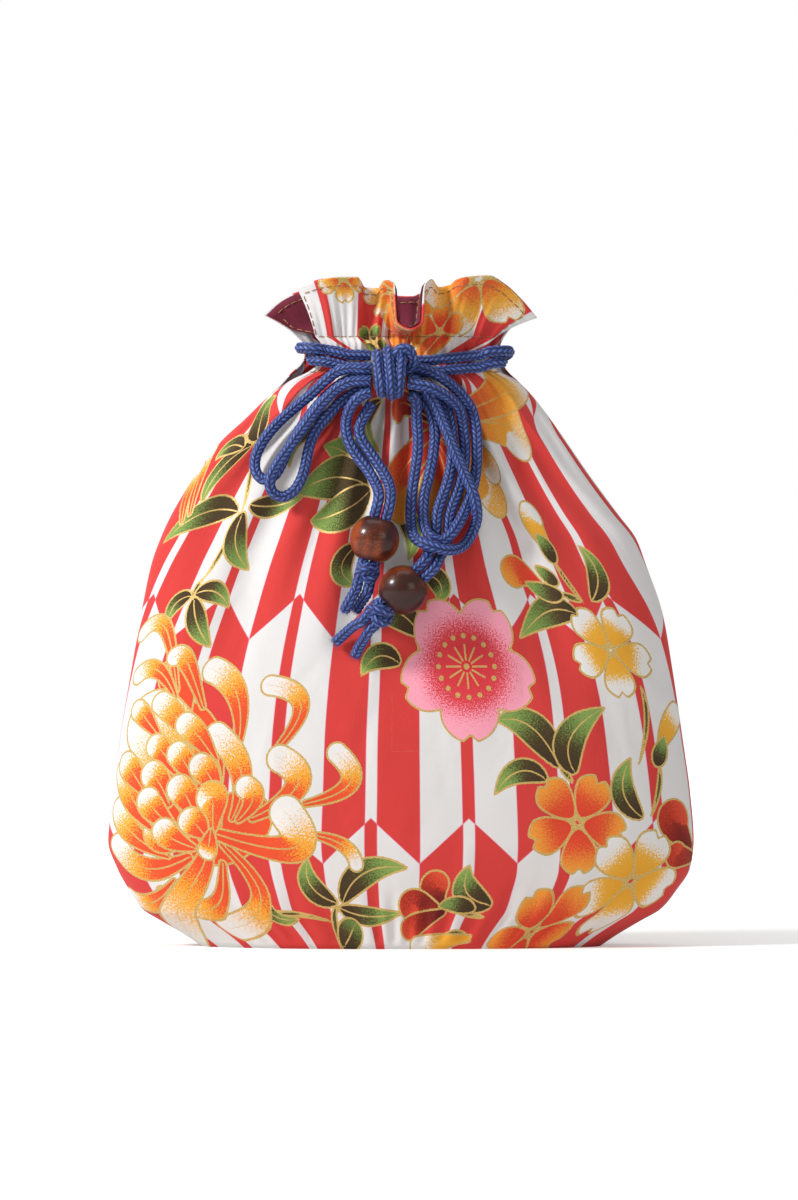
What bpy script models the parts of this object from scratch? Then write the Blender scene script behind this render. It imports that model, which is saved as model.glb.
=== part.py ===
"""Drawstring pouch of printed cotton, gathered by two cords that are tied in one bow at the front.

The pouch stands on its flattened base with the bow facing -Y. Two lined panels make the bag. Each
cord runs right round the neck inside the casing, leaves at its own side slit, is wrapped into the
bow and ends in a wooden bead and a knot. Sizes are in metres and +Z is up.
"""
import math

import bpy
import bmesh
import numpy as np
from mathutils import Vector

# Driving sizes.
BODY_HEIGHT = 0.2196
HEADER_HEIGHT = 0.0216
HALF_WIDTH = 0.106
HALF_DEPTH = 0.031
HEADER_HALF_WIDTH = 0.050
HEADER_REACH = 0.020
CLOTH_THICKNESS = 0.0006
LINING_THICKNESS = 0.0005
PLEAT_DEPTH = 0.0026
DRAPE_DEPTH = 0.0018
CASING_HALF_OPENING = 0.0030
CASING_BULGE = 0.0021
CORD_DIAMETER = 0.0038
BEAD_DIAMETER = 0.0176
BEAD_LENGTH = 0.0152
LEFT_KNOT_RADIUS = 0.0048
RIGHT_KNOT_RADIUS = 0.0057
END_KNOT_LENGTH = 0.0080
BOW_KNOT_WIDTH = 0.0121
BOW_KNOT_OFFSET = -0.00405

# Clearances.
SEAM_CLEARANCE = 0.0003
PIECE_CLEARANCE = 0.0003
CORD_CLEARANCE = 0.0002
LAY_CLEARANCE = 0.0004
NEST_CLEARANCE = 0.00035
CASING_CLEARANCE = 0.0008

# Counts.
COLUMNS = 32
PLEATS = 8
DRAPES = 4
ROUND_SIDES = 24
RING_SIDES = 8
RING_STEPS = 20
BEVEL_RESOLUTION = 2
CURVE_STEPS = 24
ANGLE_SAMPLES = 2000

# Body rows: height share, left and right half-width shares, depth share.
BODY_SHARES = (
    (0.000, 0.680, 0.680, 0.775), (0.018, 0.735, 0.735, 0.820), (0.041, 0.816, 0.816, 0.860),
    (0.061, 0.882, 0.887, 0.900), (0.091, 0.925, 0.939, 0.940), (0.1275, 0.967, 0.986, 0.975),
    (0.173, 0.998, 0.998, 1.000), (0.255, 0.977, 0.985, 1.000), (0.337, 0.958, 0.961, 0.985),
    (0.455, 0.918, 0.925, 0.945), (0.546, 0.885, 0.892, 0.900), (0.628, 0.850, 0.834, 0.850),
    (0.669, 0.820, 0.802, 0.820), (0.710, 0.781, 0.740, 0.785), (0.751, 0.732, 0.677, 0.745),
    (0.788, 0.680, 0.622, 0.705), (0.829, 0.615, 0.564, 0.655), (0.865, 0.534, 0.511, 0.605),
    (0.906, 0.445, 0.445, 0.545))
# Neck rows: height share, half-width shares, then depth and edge as shares of the neck depth.
FRONT_NECK_SHARES = (
    (0.929, 0.378, 0.395, 1.245, 0.245), (0.944, 0.312, 0.337, 1.135, 0.535),
    (0.957, 0.280, 0.310, 1.062, 0.670), (0.971, 0.272, 0.302, 1.015, 0.710),
    (0.988, 0.272, 0.302, 0.990, 0.695), (1.000, 0.290, 0.325, 0.842, 0.585))
BACK_NECK_SHARES = (
    (0.929, 0.400, 0.400, 1.245, 0.150), (0.944, 0.373, 0.368, 1.135, 0.370),
    (0.957, 0.345, 0.350, 1.062, 0.560), (0.971, 0.330, 0.340, 1.015, 0.670),
    (0.988, 0.330, 0.340, 0.990, 0.660), (1.000, 0.350, 0.350, 0.842, 0.585))
# Header rims: place across the cloth, then across, outward and upward shares of the header.
FRONT_RIM_SHARES = (
    (-1.0000, -0.750, 0.475, 0.810), (-0.8750, -0.680, 0.625, 0.870), (-0.7500, -0.580, 0.800, 0.935),
    (-0.6250, -0.450, 0.925, 0.970), (-0.5000, -0.310, 0.925, 0.970), (-0.4375, -0.288, 0.775, 0.925),
    (-0.3750, -0.256, 0.500, 0.820), (-0.3125, -0.170, 0.550, 0.805), (-0.2500, -0.120, 0.850, 0.920),
    (-0.1875, -0.056, 0.925, 0.870), (-0.1250, -0.048, 1.075, 0.575), (-0.0625, -0.036, 1.300, 0.227),
    (0.0000, 0.064, 1.400, 0.080), (0.0625, 0.164, 1.300, 0.227), (0.1250, 0.168, 1.075, 0.575),
    (0.1875, 0.176, 0.850, 0.830), (0.2500, 0.224, 0.675, 0.950), (0.3125, 0.274, 0.475, 0.830),
    (0.3750, 0.346, 0.475, 0.860), (0.4375, 0.400, 0.700, 0.945), (0.5000, 0.470, 0.900, 0.980),
    (0.6250, 0.620, 0.925, 1.000), (0.7500, 0.740, 0.775, 0.870), (0.8750, 0.870, 0.600, 0.606),
    (1.0000, 0.980, 0.450, 0.315))
BACK_RIM_SHARES = (
    (-1.0000, -1.000, 0.250, 0.390), (-0.8750, -0.880, 0.450, 0.640), (-0.7500, -0.720, 0.650, 0.805),
    (-0.6250, -0.570, 0.850, 0.850), (-0.5000, -0.440, 0.800, 0.830), (-0.4375, -0.380, 0.575, 0.760),
    (-0.3125, -0.300, 0.600, 0.760), (-0.2500, -0.240, 0.900, 0.830), (-0.1250, -0.110, 0.950, 0.780),
    (-0.0625, -0.040, 0.700, 0.727), (0.0625, 0.070, 0.675, 0.713), (0.1250, 0.140, 0.925, 0.780),
    (0.2500, 0.270, 0.950, 0.850), (0.3125, 0.340, 0.650, 0.780), (0.4375, 0.420, 0.625, 0.780),
    (0.5000, 0.480, 0.900, 0.850), (0.6250, 0.610, 0.900, 0.830), (0.7500, 0.720, 0.700, 0.736),
    (0.8750, 0.820, 0.475, 0.574), (1.0000, 0.900, 0.275, 0.390))
RIM_TURN_SHARES = (0.35, 0.20, 0.55)
OUTER_ROW_SHARES = (0.0, 0.036, 0.091, 0.191, 0.342, 0.50, 0.637, 0.751, 0.838, 0.906,
                    0.929, 0.950, 0.972, 0.988, 1.0)
LINING_ROW_SHARES = (0.0, 0.091, 0.342, 0.637, 0.838, 0.906)
CASING_ROW_SHARES = (0.944, 0.972, 0.990)
HEADER_ROW_SHARES = (0.5, 1.0)
SLIT_FOOT_SHARE = 0.906
CASING_MIDDLE_SHARE = 0.9715
PLEAT_FADE_SHARES = (0.75, 0.935)
DRAPE_FADE_SHARES = (0.56, 0.86)
BOW_KNOT_HEIGHT_SHARE = 0.9376

# Cord places in cord pitches. A lay point gives across and up from the bow knot and the rise above
# the cloth. A slit point gives outward from the casing's turn, depth and up from the casing middle.
LEFT_TURN_INSET_SHARE = 1.63
RIGHT_TURN_INSET_SHARE = 2.43
CASING_LINING_SHARE = 0.80
LEFT_RING_SHARE = 0.56
RIGHT_RING_SHARE = -0.56
LEFT_NECK_UPPER_SHARES = (
    ((-1.66, 1.67, 0.05), (-2.59, 1.75, 0.05), (-3.58, 1.77, 0.00), (-4.75, 2.06, 0.00),
     (-5.83, 2.24, 0.10)),
    ((2.15, -3.58, 0.49), (2.98, -3.10, 0.56), (3.48, -2.15, 0.59), (3.33, -1.05, 0.56),
     (2.58, -0.05, 0.56), (1.62, 0.88, 0.56), (0.78, 1.37, 0.56)))
LEFT_NECK_LOWER_SHARES = (
    ((-1.66, 0.62, 0.05), (-2.59, 0.63, 0.05), (-3.58, 0.62, 0.00), (-4.75, 0.91, 0.00),
     (-5.74, 1.14, 0.15)),
    ((1.85, -3.27, -0.61), (2.40, -2.80, -0.54), (2.50, -2.20, -0.21), (2.15, -1.75, 0.16),
     (1.52, -1.57, 0.49), (0.74, -1.65, 0.56)))
RIGHT_NECK_UPPER_SHARES = (
    ((1.66, 1.32, 0.05), (2.54, 1.22, 0.05), (3.62, 1.25, 0.00), (5.24, 1.44, 0.00),
     (6.86, 1.62, 0.00), (8.12, 1.75, 0.10)),
    ((2.33, -3.75, 0.18), (3.35, -3.45, 0.28), (4.10, -2.50, 0.28), (4.10, -1.35, 0.08),
     (3.42, -0.30, -0.22), (2.45, 0.45, -0.46), (1.62, 0.92, -0.56), (0.78, 1.37, -0.56)))
RIGHT_NECK_LOWER_SHARES = (
    ((1.66, 0.25, 0.05), (2.54, 0.17, 0.05), (3.62, 0.18, 0.00), (5.24, 0.37, 0.00),
     (6.86, 0.55, 0.00), (8.12, 0.65, 0.10)),
    ((2.33, -3.62, -0.94), (3.10, -3.30, -0.78), (3.55, -2.60, -0.72), (3.32, -1.85, -0.68),
     (2.50, -1.45, -0.60), (1.58, -1.50, -0.56), (0.74, -1.65, -0.56)))
CASING_START_SHARES = ((0.65, -1.66), (-0.55, -1.83))
CASING_END_SHARES = ((-0.75, 1.83), (0.05, 1.70), (0.66, 1.42))
LEFT_OUTER_LOOP_SHARES = (
    (-1.66, 0.38, 1.15), (-2.41, 0.38, 1.30), (-3.58, 0.47, 1.25), (-4.79, 0.14, 1.10),
    (-5.83, -0.67, 0.85), (-6.95, -1.71, 0.30), (-8.26, -2.79, 0.00), (-9.52, -3.87, 0.00),
    (-10.64, -5.04, 0.00), (-11.50, -6.25, 0.00), (-12.04, -7.55, 0.00), (-11.99, -8.73, 0.00),
    (-11.32, -9.45, 0.00), (-10.42, -9.18, 0.00), (-9.72, -8.14, 0.00), (-9.11, -6.79, 0.00),
    (-8.30, -5.35, 0.00), (-7.40, -4.00, 0.00), (-6.37, -2.70, 0.00), (-5.24, -1.53, 0.00),
    (-3.98, -0.67, 0.00), (-2.77, -0.37, 0.00), (-1.66, -0.43, 0.05))
LEFT_INNER_LOOP_SHARES = (
    (-1.66, -0.68, 1.15), (-2.41, -0.66, 1.20), (-3.58, -0.76, 1.15), (-4.66, -1.30, 1.12),
    (-5.65, -2.20, 1.10), (-6.59, -3.28, 1.07), (-7.49, -4.50, 1.07), (-8.39, -5.76, 1.07),
    (-9.29, -7.02, 1.07), (-10.10, -8.19, 1.10), (-10.69, -9.40, 1.05), (-10.51, -10.53, 0.60),
    (-9.65, -11.02, 0.12), (-8.66, -10.57, 0.00), (-7.94, -9.49, 0.00), (-7.54, -8.19, 0.00),
    (-7.27, -6.84, 0.00), (-6.86, -5.58, 0.00), (-6.14, -4.41, 0.00), (-5.24, -3.37, 0.00),
    (-4.21, -2.38, 0.00), (-2.99, -1.62, 0.00), (-1.66, -1.48, 0.05))
LEFT_PENDANT_A_SHARES = (
    (-1.66, -1.73, 1.15), (-2.32, -1.89, 1.15), (-3.04, -2.38, 1.00), (-3.58, -3.19, 0.60),
    (-3.89, -4.18, 0.05), (-3.87, -5.26, 0.00), (-3.51, -6.38, 0.00), (-2.84, -7.47, 0.00),
    (-2.07, -8.46, 0.15), (-1.46, -9.45, 0.55), (-1.03, -10.44, 1.15))
LEFT_PENDANT_B_SHARES = (
    (-1.62, -2.60, 0.05), (-1.92, -3.15, 0.00), (-2.25, -3.72, 0.00), (-2.56, -4.38, 0.00),
    (-2.72, -5.08, 0.00), (-2.46, -5.97, 0.00), (-1.81, -6.96, 0.00), (-1.11, -7.99, 0.15),
    (-0.46, -9.00, 0.55), (0.00, -10.12, 1.15))
RIGHT_INNER_LOOP_SHARES = (
    (1.66, 0.67, 1.15), (2.54, 0.54, 1.20), (3.53, 0.23, 1.18), (4.52, -0.27, 1.05),
    (5.51, -0.99, 0.65), (6.46, -1.89, 0.20), (7.25, -3.01, 0.00), (7.65, -4.32, 0.00),
    (7.79, -5.67, 0.00), (7.81, -7.02, 0.00), (7.76, -8.37, 0.00), (7.58, -9.67, 0.00),
    (7.22, -10.93, 0.00), (6.77, -12.15, 0.15), (6.21, -13.32, 0.70), (5.51, -14.33, 1.18),
    (4.66, -14.95, 1.35), (3.78, -14.72, 1.40), (3.22, -13.99, 0.75), (3.02, -13.00, 0.10),
    (3.02, -11.79, 0.00), (3.17, -10.53, 0.00), (3.49, -9.27, 0.00), (3.76, -8.01, 0.00),
    (3.96, -6.75, 0.00), (4.05, -5.49, 0.00), (3.93, -4.27, 0.00), (3.58, -3.19, 0.00),
    (2.99, -2.38, 0.00), (2.32, -1.98, 0.00), (1.66, -1.83, 0.05))
RIGHT_OUTER_LOOP_SHARES = (
    (1.86, -1.96, 1.30), (2.24, -2.22, 1.18), (2.40, -3.00, 0.80), (2.40, -3.85, 0.22),
    (2.46, -4.75, 0.00),
    (2.54, -5.76, 0.00), (2.50, -6.93, 0.00), (2.36, -8.14, 0.00), (2.18, -9.36, 0.00),
    (2.00, -10.62, 0.00), (1.89, -11.88, 0.00), (1.88, -13.05, 0.00), (1.97, -13.99, 0.50),
    (2.27, -14.71, 1.35), (2.99, -15.22, 2.15), (4.03, -15.58, 2.30), (5.06, -15.80, 1.85),
    (6.05, -15.70, 0.90), (6.82, -15.16, 0.15), (7.38, -14.26, 0.00), (7.76, -13.14, 0.10),
    (7.76, -11.97, 0.98), (7.49, -10.80, 1.22), (7.02, -9.67, 1.12), (6.52, -8.55, 1.10),
    (6.03, -7.42, 1.07), (5.56, -6.30, 1.07), (5.11, -5.17, 1.05), (4.66, -4.09, 0.97),
    (4.25, -3.10, 0.97), (3.76, -2.20, 1.07), (3.13, -1.35, 1.10), (2.40, -0.66, 1.10),
    (1.70, -0.42, 1.12))
RIGHT_PENDANT_A_SHARES = (
    (1.66, -0.83, 2.20), (2.36, -1.03, 2.23), (3.44, -1.21, 2.20), (4.48, -1.66, 1.85),
    (5.49, -2.33, 1.25), (6.27, -3.25, 0.50), (6.52, -4.45, 0.00), (6.66, -5.67, 0.00),
    (6.73, -6.88, 0.00), (6.66, -8.10, 0.00), (6.44, -9.36, 0.00), (6.10, -10.53, 0.00),
    (5.67, -11.61, 0.00), (5.36, -12.64, 0.00), (5.27, -13.68, 0.00), (5.21, -14.71, 0.00),
    (4.92, -15.66, 0.17), (4.49, -16.37, 0.72))
RIGHT_PENDANT_B_SHARES = (
    (1.66, -0.77, 0.05), (2.45, -0.88, 0.00), (3.44, -1.18, 0.00), (4.39, -1.84, 0.00),
    (5.01, -2.79, 0.00), (5.34, -3.91, 0.00), (5.54, -5.12, 0.00), (5.60, -6.34, 0.00),
    (5.58, -7.55, 0.00), (5.40, -8.82, 0.00), (5.09, -10.03, 0.00), (4.66, -11.20, 0.00),
    (4.30, -12.33, 0.00), (4.19, -13.41, 0.00), (4.13, -14.30, 0.00), (3.89, -15.16, 0.12),
    (3.55, -15.76, 0.60))
LEFT_TAIL_A_SHARES = ((-3.26, -19.80, 1.40), (-3.62, -20.43, 1.17), (-3.98, -21.15, 0.50))
LEFT_TAIL_B_SHARES = ((-2.27, -20.07, 0.80), (-2.68, -20.65, 0.20), (-3.04, -21.24, 0.00))
RIGHT_TAIL_A_SHARES = ((-3.22, -22.59, 0.80), (-3.85, -23.13, 0.25), (-4.39, -23.62, 0.03),
                       (-4.84, -24.03, 0.00))
RIGHT_TAIL_B_SHARES = ((-2.18, -23.58, 0.75), (-2.54, -24.16, 0.25), (-2.86, -24.75, 0.03),
                       (-3.08, -25.29, 0.00))
TAIL_LEAD_SHARE = 0.60
STRAND_OFFSET_SHARE = 0.525
LEFT_LEAD_SHARE = 1.65
RIGHT_LEAD_SHARE = 1.45
LEFT_BEAD_SHARES = (-1.33, -14.85)
RIGHT_BEAD_SHARES = (0.573, -1.023)
LEFT_BEAD_TILT = math.radians(14.0)
RIGHT_BEAD_TILT = math.radians(46.0)

# Knot forms.
BOW_KNOT_SHARES = (1.42, 1.85)
WRAP_SHARES = (1.40, 1.80)
BULGE_SHARES = (1.50, 1.92)
WRAP_PLACE_SHARES = (-0.32, 0.0, 0.32)
BULGE_PLACE_SHARE = 0.10
BULGE_TURN = math.radians(15.0)
KNOT_LEAN = math.radians(14.0)
KNOT_STANDOFF_SHARE = 2.12
SQUARENESS = 3.0
BARREL_SHARES = ((0.0, 0.80), (0.15, 0.97), (0.50, 1.00), (0.85, 0.97), (1.0, 0.80))
BEAD_ARC_STEPS = 9
BEAD_FACE_SHARE = 0.60
POLY_TURN = math.radians(33.0)
POLY_STRIDE_SHARE = 2.6

# Derived sizes.
PITCH = CORD_DIAMETER + CORD_CLEARANCE
CASING_RUN = CASING_HALF_OPENING + CASING_BULGE + PIECE_CLEARANCE + CORD_DIAMETER / 2
NECK_DEPTH = CASING_RUN + CORD_DIAMETER / 2 + CASING_CLEARANCE + CLOTH_THICKNESS + PLEAT_DEPTH
LAY = CORD_DIAMETER / 2 + LAY_CLEARANCE
BORE_RADIUS = STRAND_OFFSET_SHARE * PITCH + CORD_DIAMETER / 2 + PIECE_CLEARANCE
FRONT, BACK = -1, 1


def smooth(at, keys, values):
    """Reads a smooth curve through the given keys that never swings past them."""
    keys, values = np.asarray(keys, float), np.asarray(values, float)
    secants = np.diff(values) / np.diff(keys)
    before, after = secants[:-1], secants[1:]
    same = before * after > 0
    inner = np.where(same, 2 * before * after / np.where(same, before + after, 1), 0)
    slopes = np.concatenate(([secants[0]], inner, [secants[-1]]))
    spot = np.clip(np.searchsorted(keys, at, side="right") - 1, 0, len(keys) - 2)
    width = keys[spot + 1] - keys[spot]
    t = (at - keys[spot]) / width
    start, end = values[spot], values[spot + 1]
    rise, fall = slopes[spot] * width, slopes[spot + 1] * width
    blend = t * t * (3 - 2 * t)
    return start + (end - start) * blend + rise * t * (1 - t) ** 2 - fall * t * t * (1 - t)


def fade(at, shares):
    """Grows smoothly from nought to one between the two shares."""
    t = np.clip((at - shares[0]) / (shares[1] - shares[0]), 0, 1)
    return t * t * (3 - 2 * t)


def side_rows(side):
    """Lists height share, half-widths, depth and edge in metres for one panel."""
    body = [(h, left * HALF_WIDTH, right * HALF_WIDTH, depth * HALF_DEPTH, 0)
            for h, left, right, depth in BODY_SHARES]
    neck = [(h, left * HALF_WIDTH, right * HALF_WIDTH, depth * NECK_DEPTH, edge * NECK_DEPTH)
            for h, left, right, depth, edge in (FRONT_NECK_SHARES if side == FRONT else BACK_NECK_SHARES)]
    return np.array(body + neck)


ROWS = {FRONT: side_rows(FRONT), BACK: side_rows(BACK)}


def section(side, share):
    """Gives left and right half-width, depth and edge of a panel at a height share."""
    rows = ROWS[side]
    return [smooth(share, rows[:, 0], rows[:, k]) for k in range(1, 5)]


def cloth_angles():
    """Spaces the columns evenly along the cloth of the belly."""
    angle = np.linspace(-math.pi / 2, math.pi / 2, ANGLE_SAMPLES)
    x, y = HALF_WIDTH * np.sin(angle), HALF_DEPTH * np.cos(angle)
    length = np.concatenate(([0], np.cumsum(np.hypot(np.diff(x), np.diff(y)))))
    places = np.linspace(0, length[-1], COLUMNS + 1)
    return np.interp(places, length, angle)


def folds(share, place, full):
    """Depth of the gathers at a height share, taken inward from the crests."""
    pleat = 1.0 if full else (1 - np.cos(math.pi * PLEATS * (place + 1))) / 2
    drape = 1.0 if full else (1 - np.cos(math.pi * DRAPES * (place + 1))) / 2
    deep = PLEAT_DEPTH * pleat * fade(share, PLEAT_FADE_SHARES)
    broad = DRAPE_DEPTH * drape * fade(share, DRAPE_FADE_SHARES)
    return np.maximum(deep, broad * (1 - fade(share, PLEAT_FADE_SHARES)))


def body_row(side, share, full):
    """Points of one panel across a level line of the body or neck."""
    angle = cloth_angles()
    place = np.linspace(-1, 1, COLUMNS + 1)
    left, right, depth, edge = section(side, share)
    x = np.where(angle < 0, left, right) * np.sin(angle)
    reach = edge + (depth - edge - folds(share, place, full)) * np.cos(angle)
    y = side * (SEAM_CLEARANCE / 2 + reach)
    return np.stack([x, y, np.full_like(x, share * BODY_HEIGHT)], 1)


def header_row(side, root, lift):
    """Points of the flared header between the neck and its rim."""
    place = np.linspace(-1, 1, COLUMNS + 1)
    keys = np.array(FRONT_RIM_SHARES if side == FRONT else BACK_RIM_SHARES)
    across, out, up = (smooth(place, keys[:, 0], keys[:, k]) for k in range(1, 4))
    rim = np.stack([across * HEADER_HALF_WIDTH, side * out * HEADER_REACH,
                    BODY_HEIGHT + up * HEADER_HEIGHT], 1)
    turn = root + (rim - root) * np.array(RIM_TURN_SHARES)
    return root * (1 - lift) ** 2 + turn * 2 * lift * (1 - lift) + rim * lift ** 2


def seam_row(side, base):
    """Points of the middle seam under the base."""
    row = base.copy()
    row[:, 1] = side * SEAM_CLEARANCE / 2
    return row


def inward(grid, side, shut_rows):
    """Directions into the pouch at every point of a panel grid."""
    across = np.gradient(grid, axis=1)
    upward = np.gradient(grid, axis=0)
    normal = side * np.cross(across, upward)
    for column, way in ((0, 1), (-1, -1)):
        normal[:shut_rows, column] = (way, 0, 0)
        normal[:2, column] = (way, 0, 1)
    size = np.linalg.norm(normal, axis=2, keepdims=True)
    normal = normal / size
    normal[1] *= math.sqrt(2)
    normal[0, [0, -1]] *= math.sqrt(2)
    return normal


def outer_grid(side):
    """Outside face of an outer panel from the base seam to the header's rim."""
    rows = [body_row(side, share, False) for share in OUTER_ROW_SHARES]
    rows = [seam_row(side, rows[0])] + rows
    return np.array(rows + [header_row(side, rows[-1], lift) for lift in HEADER_ROW_SHARES])


def shut_count(shares):
    """Number of rows, with the base seam, that lie below the side slit."""
    return 1 + sum(1 for share in shares if share <= SLIT_FOOT_SHARE)


def casing_row(side, share):
    """Points of the lining where it passes behind the cords."""
    angle = cloth_angles()
    left, right = turn_place(-1) + CASING_LINING_SHARE * PITCH, turn_place(1) + CASING_LINING_SHARE * PITCH
    x = np.where(angle < 0, left, right) * np.sin(angle)
    y = side * (CASING_HALF_OPENING + CASING_BULGE * np.cos(angle))
    return np.stack([x, y, np.full_like(x, share * BODY_HEIGHT)], 1)


def lining_grid(side):
    """Outside face of a lining, which nests in its outer panel."""
    shares = LINING_ROW_SHARES
    body = [body_row(side, share, True) for share in shares]
    body = np.array([seam_row(side, body[0])] + body)
    gap = CLOTH_THICKNESS + PIECE_CLEARANCE
    body = body + inward(body, side, shut_count(shares)) * (gap + NEST_CLEARANCE)
    casing = np.array([casing_row(side, share) for share in CASING_ROW_SHARES])
    outer = outer_grid(side)
    header = outer + inward(outer, side, shut_count(OUTER_ROW_SHARES)) * gap
    return np.concatenate([body, casing, header[-1 - len(HEADER_ROW_SHARES):]])


def turn_place(way):
    """Distance from the middle to the centre of the casing cords' turn on one side."""
    left, right, _, _ = section(FRONT, CASING_MIDDLE_SHARE)
    if way < 0:
        return float(left) - LEFT_TURN_INSET_SHARE * PITCH
    return float(right) - RIGHT_TURN_INSET_SHARE * PITCH


def sheet_mesh(name, outside, inside):
    """Closes two matching grids into one sheet with a finished edge all round."""
    rows, columns = outside.shape[:2]
    mesh = bmesh.new()
    grids = [[[mesh.verts.new(point) for point in row] for row in grid] for grid in (outside, inside)]
    for grid in grids:
        for r in range(rows - 1):
            for c in range(columns - 1):
                a, b, d, e = grid[r][c], grid[r][c + 1], grid[r + 1][c + 1], grid[r + 1][c]
                mesh.faces.new((a, b, d))
                mesh.faces.new((a, d, e))
    near, far = grids
    edges = [(near[0], far[0]), (near[-1], far[-1]),
             ([row[0] for row in near], [row[0] for row in far]),
             ([row[-1] for row in near], [row[-1] for row in far])]
    for line, other in edges:
        for k in range(len(line) - 1):
            mesh.faces.new((line[k], line[k + 1], other[k + 1], other[k]))
    bmesh.ops.remove_doubles(mesh, verts=mesh.verts, dist=PIECE_CLEARANCE / 1000)
    bmesh.ops.recalc_face_normals(mesh, faces=mesh.faces)
    data = bpy.data.meshes.new(name)
    mesh.to_mesh(data)
    mesh.free()
    return data


def place_object(name, data, material, collection, location=(0, 0, 0)):
    """Adds one named piece with its material."""
    piece = bpy.data.objects.new(name, data)
    piece.location = location
    data.materials.append(material)
    collection.objects.link(piece)
    return piece


def sheet(name, grid, thickness, side, shut_rows, material, collection):
    """One cloth panel of the given thickness."""
    inside = grid + inward(grid, side, shut_rows) * thickness
    data = sheet_mesh(name, grid, inside)
    data.shade_smooth()
    return place_object(name, data, material, collection)


def front_depth(x, z):
    """Depth of the front panel's crests at a place across and up."""
    left, right, depth, edge = section(FRONT, z / BODY_HEIGHT)
    reach = min(abs(x) / float(left if x < 0 else right), 1)
    return SEAM_CLEARANCE / 2 + float(edge) + float(depth - edge) * math.sqrt(1 - reach * reach)


def lay_point(across, up, rise):
    """A cord point that lies on the front panel or on strands below it."""
    x = BOW_KNOT_OFFSET + across * PITCH
    z = BOW_KNOT_HEIGHT_SHARE * BODY_HEIGHT + up * PITCH
    return np.array([x, -(front_depth(x, z) + LAY + rise * PITCH), z])


def slit_point(way, out, depth, up):
    """A cord point in the side slit or at a mouth of the casing."""
    return np.array([way * (turn_place(way) + out * PITCH), depth * PITCH,
                     CASING_MIDDLE_SHARE * BODY_HEIGHT + up * PITCH])


def bead_centre(way):
    """Centre of the left or right bead."""
    x = BOW_KNOT_OFFSET + LEFT_BEAD_SHARES[0] * PITCH
    z = BOW_KNOT_HEIGHT_SHARE * BODY_HEIGHT + LEFT_BEAD_SHARES[1] * PITCH
    if way > 0:
        x += RIGHT_BEAD_SHARES[0] * BEAD_DIAMETER
        z += RIGHT_BEAD_SHARES[1] * BEAD_DIAMETER
    return np.array([x, -(front_depth(x, z) + BEAD_DIAMETER / 2 + LAY_CLEARANCE), z])


def bead_axes(way):
    """Unit directions up along a bead's bore and across it."""
    tilt = LEFT_BEAD_TILT if way < 0 else RIGHT_BEAD_TILT
    up = np.array([math.sin(tilt), 0, math.cos(tilt)])
    across = np.array([math.cos(tilt), 0, -math.sin(tilt)])
    return up, across


def bore_points(way, offset, lead):
    """Straight end of a pendant strand through its bead."""
    up, across = bead_axes(way)
    start = bead_centre(way) + across * offset * PITCH
    top = BEAD_LENGTH / 2 + lead * PITCH
    return [start + up * height for height in np.linspace(top, -BEAD_LENGTH / 2, 4)]


def tail_start(way, offset):
    """First point of a tail below its end knot."""
    up, across = bead_axes(way)
    drop = BEAD_LENGTH / 2 + END_KNOT_LENGTH + 2 * PIECE_CLEARANCE
    return bead_centre(way) - up * drop + across * offset * PITCH


def smooth_route(points):
    """Centripetal curve through the points."""
    p = np.array(points, float)
    p = np.vstack([2 * p[0] - p[1], p, 2 * p[-1] - p[-2]])
    share = np.linspace(0, 1, CURVE_STEPS, endpoint=False)[:, None]
    parts = []
    for a, b, c, d in zip(p[:-3], p[1:-2], p[2:-1], p[3:]):
        t1, t2, t3 = (math.sqrt(np.linalg.norm(v)) for v in (b - a, c - b, d - c))
        start = ((b - a) / t1 - (c - a) / (t1 + t2) + (c - b) / t2) * t2
        end = ((c - b) / t2 - (d - b) / (t2 + t3) + (d - c) / t3) * t2
        blend = share * share * (3 - 2 * share)
        parts.append(b + (c - b) * blend + start * share * (1 - share) ** 2
                     - end * share * share * (1 - share))
    return np.vstack(parts + [p[-2][None]])


def thin_route(line):
    """Keeps points close together on bends and far apart on straight runs."""
    from_start = np.linalg.norm(line - line[0], axis=1)
    from_end = np.linalg.norm(line - line[-1], axis=1)
    first = int(np.argmax(from_start > CORD_DIAMETER / 2))
    last = len(line) - 1 - int(np.argmax(from_end[::-1] > CORD_DIAMETER / 2))
    kept, turned, walked = [line[0], line[first]], 0.0, 0.0
    for k in range(first + 1, last):
        before, after = Vector(line[k] - line[k - 1]), Vector(line[k + 1] - line[k])
        turned += before.angle(after)
        walked += before.length
        if turned > POLY_TURN or walked > POLY_STRIDE_SHARE * CORD_DIAMETER:
            kept.append(line[k])
            turned, walked = 0.0, 0.0
    if np.linalg.norm(kept[-1] - line[last]) < CORD_DIAMETER / 4:
        kept.pop()
    return kept + [line[last], line[-1]]


def cord(name, points, material, collection):
    """One stretch of cord as a capped tube."""
    line = thin_route(smooth_route(points))
    data = bpy.data.curves.new(name, "CURVE")
    data.dimensions = "3D"
    data.bevel_depth = CORD_DIAMETER / 2
    data.bevel_resolution = BEVEL_RESOLUTION
    data.use_fill_caps = True
    spline = data.splines.new("POLY")
    spline.points.add(len(line) - 1)
    for point, place in zip(spline.points, line):
        point.co = (*place, 1)
    return place_object(name, data, material, collection)


def neck_strand(name, way, shares, material, collection):
    """Cord from the bow knot round the front panel's edge into the casing."""
    lay, slit = shares
    points = [lay_point(*p) for p in lay] + [slit_point(way, *p) for p in slit]
    return cord(name, points, material, collection)


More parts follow.
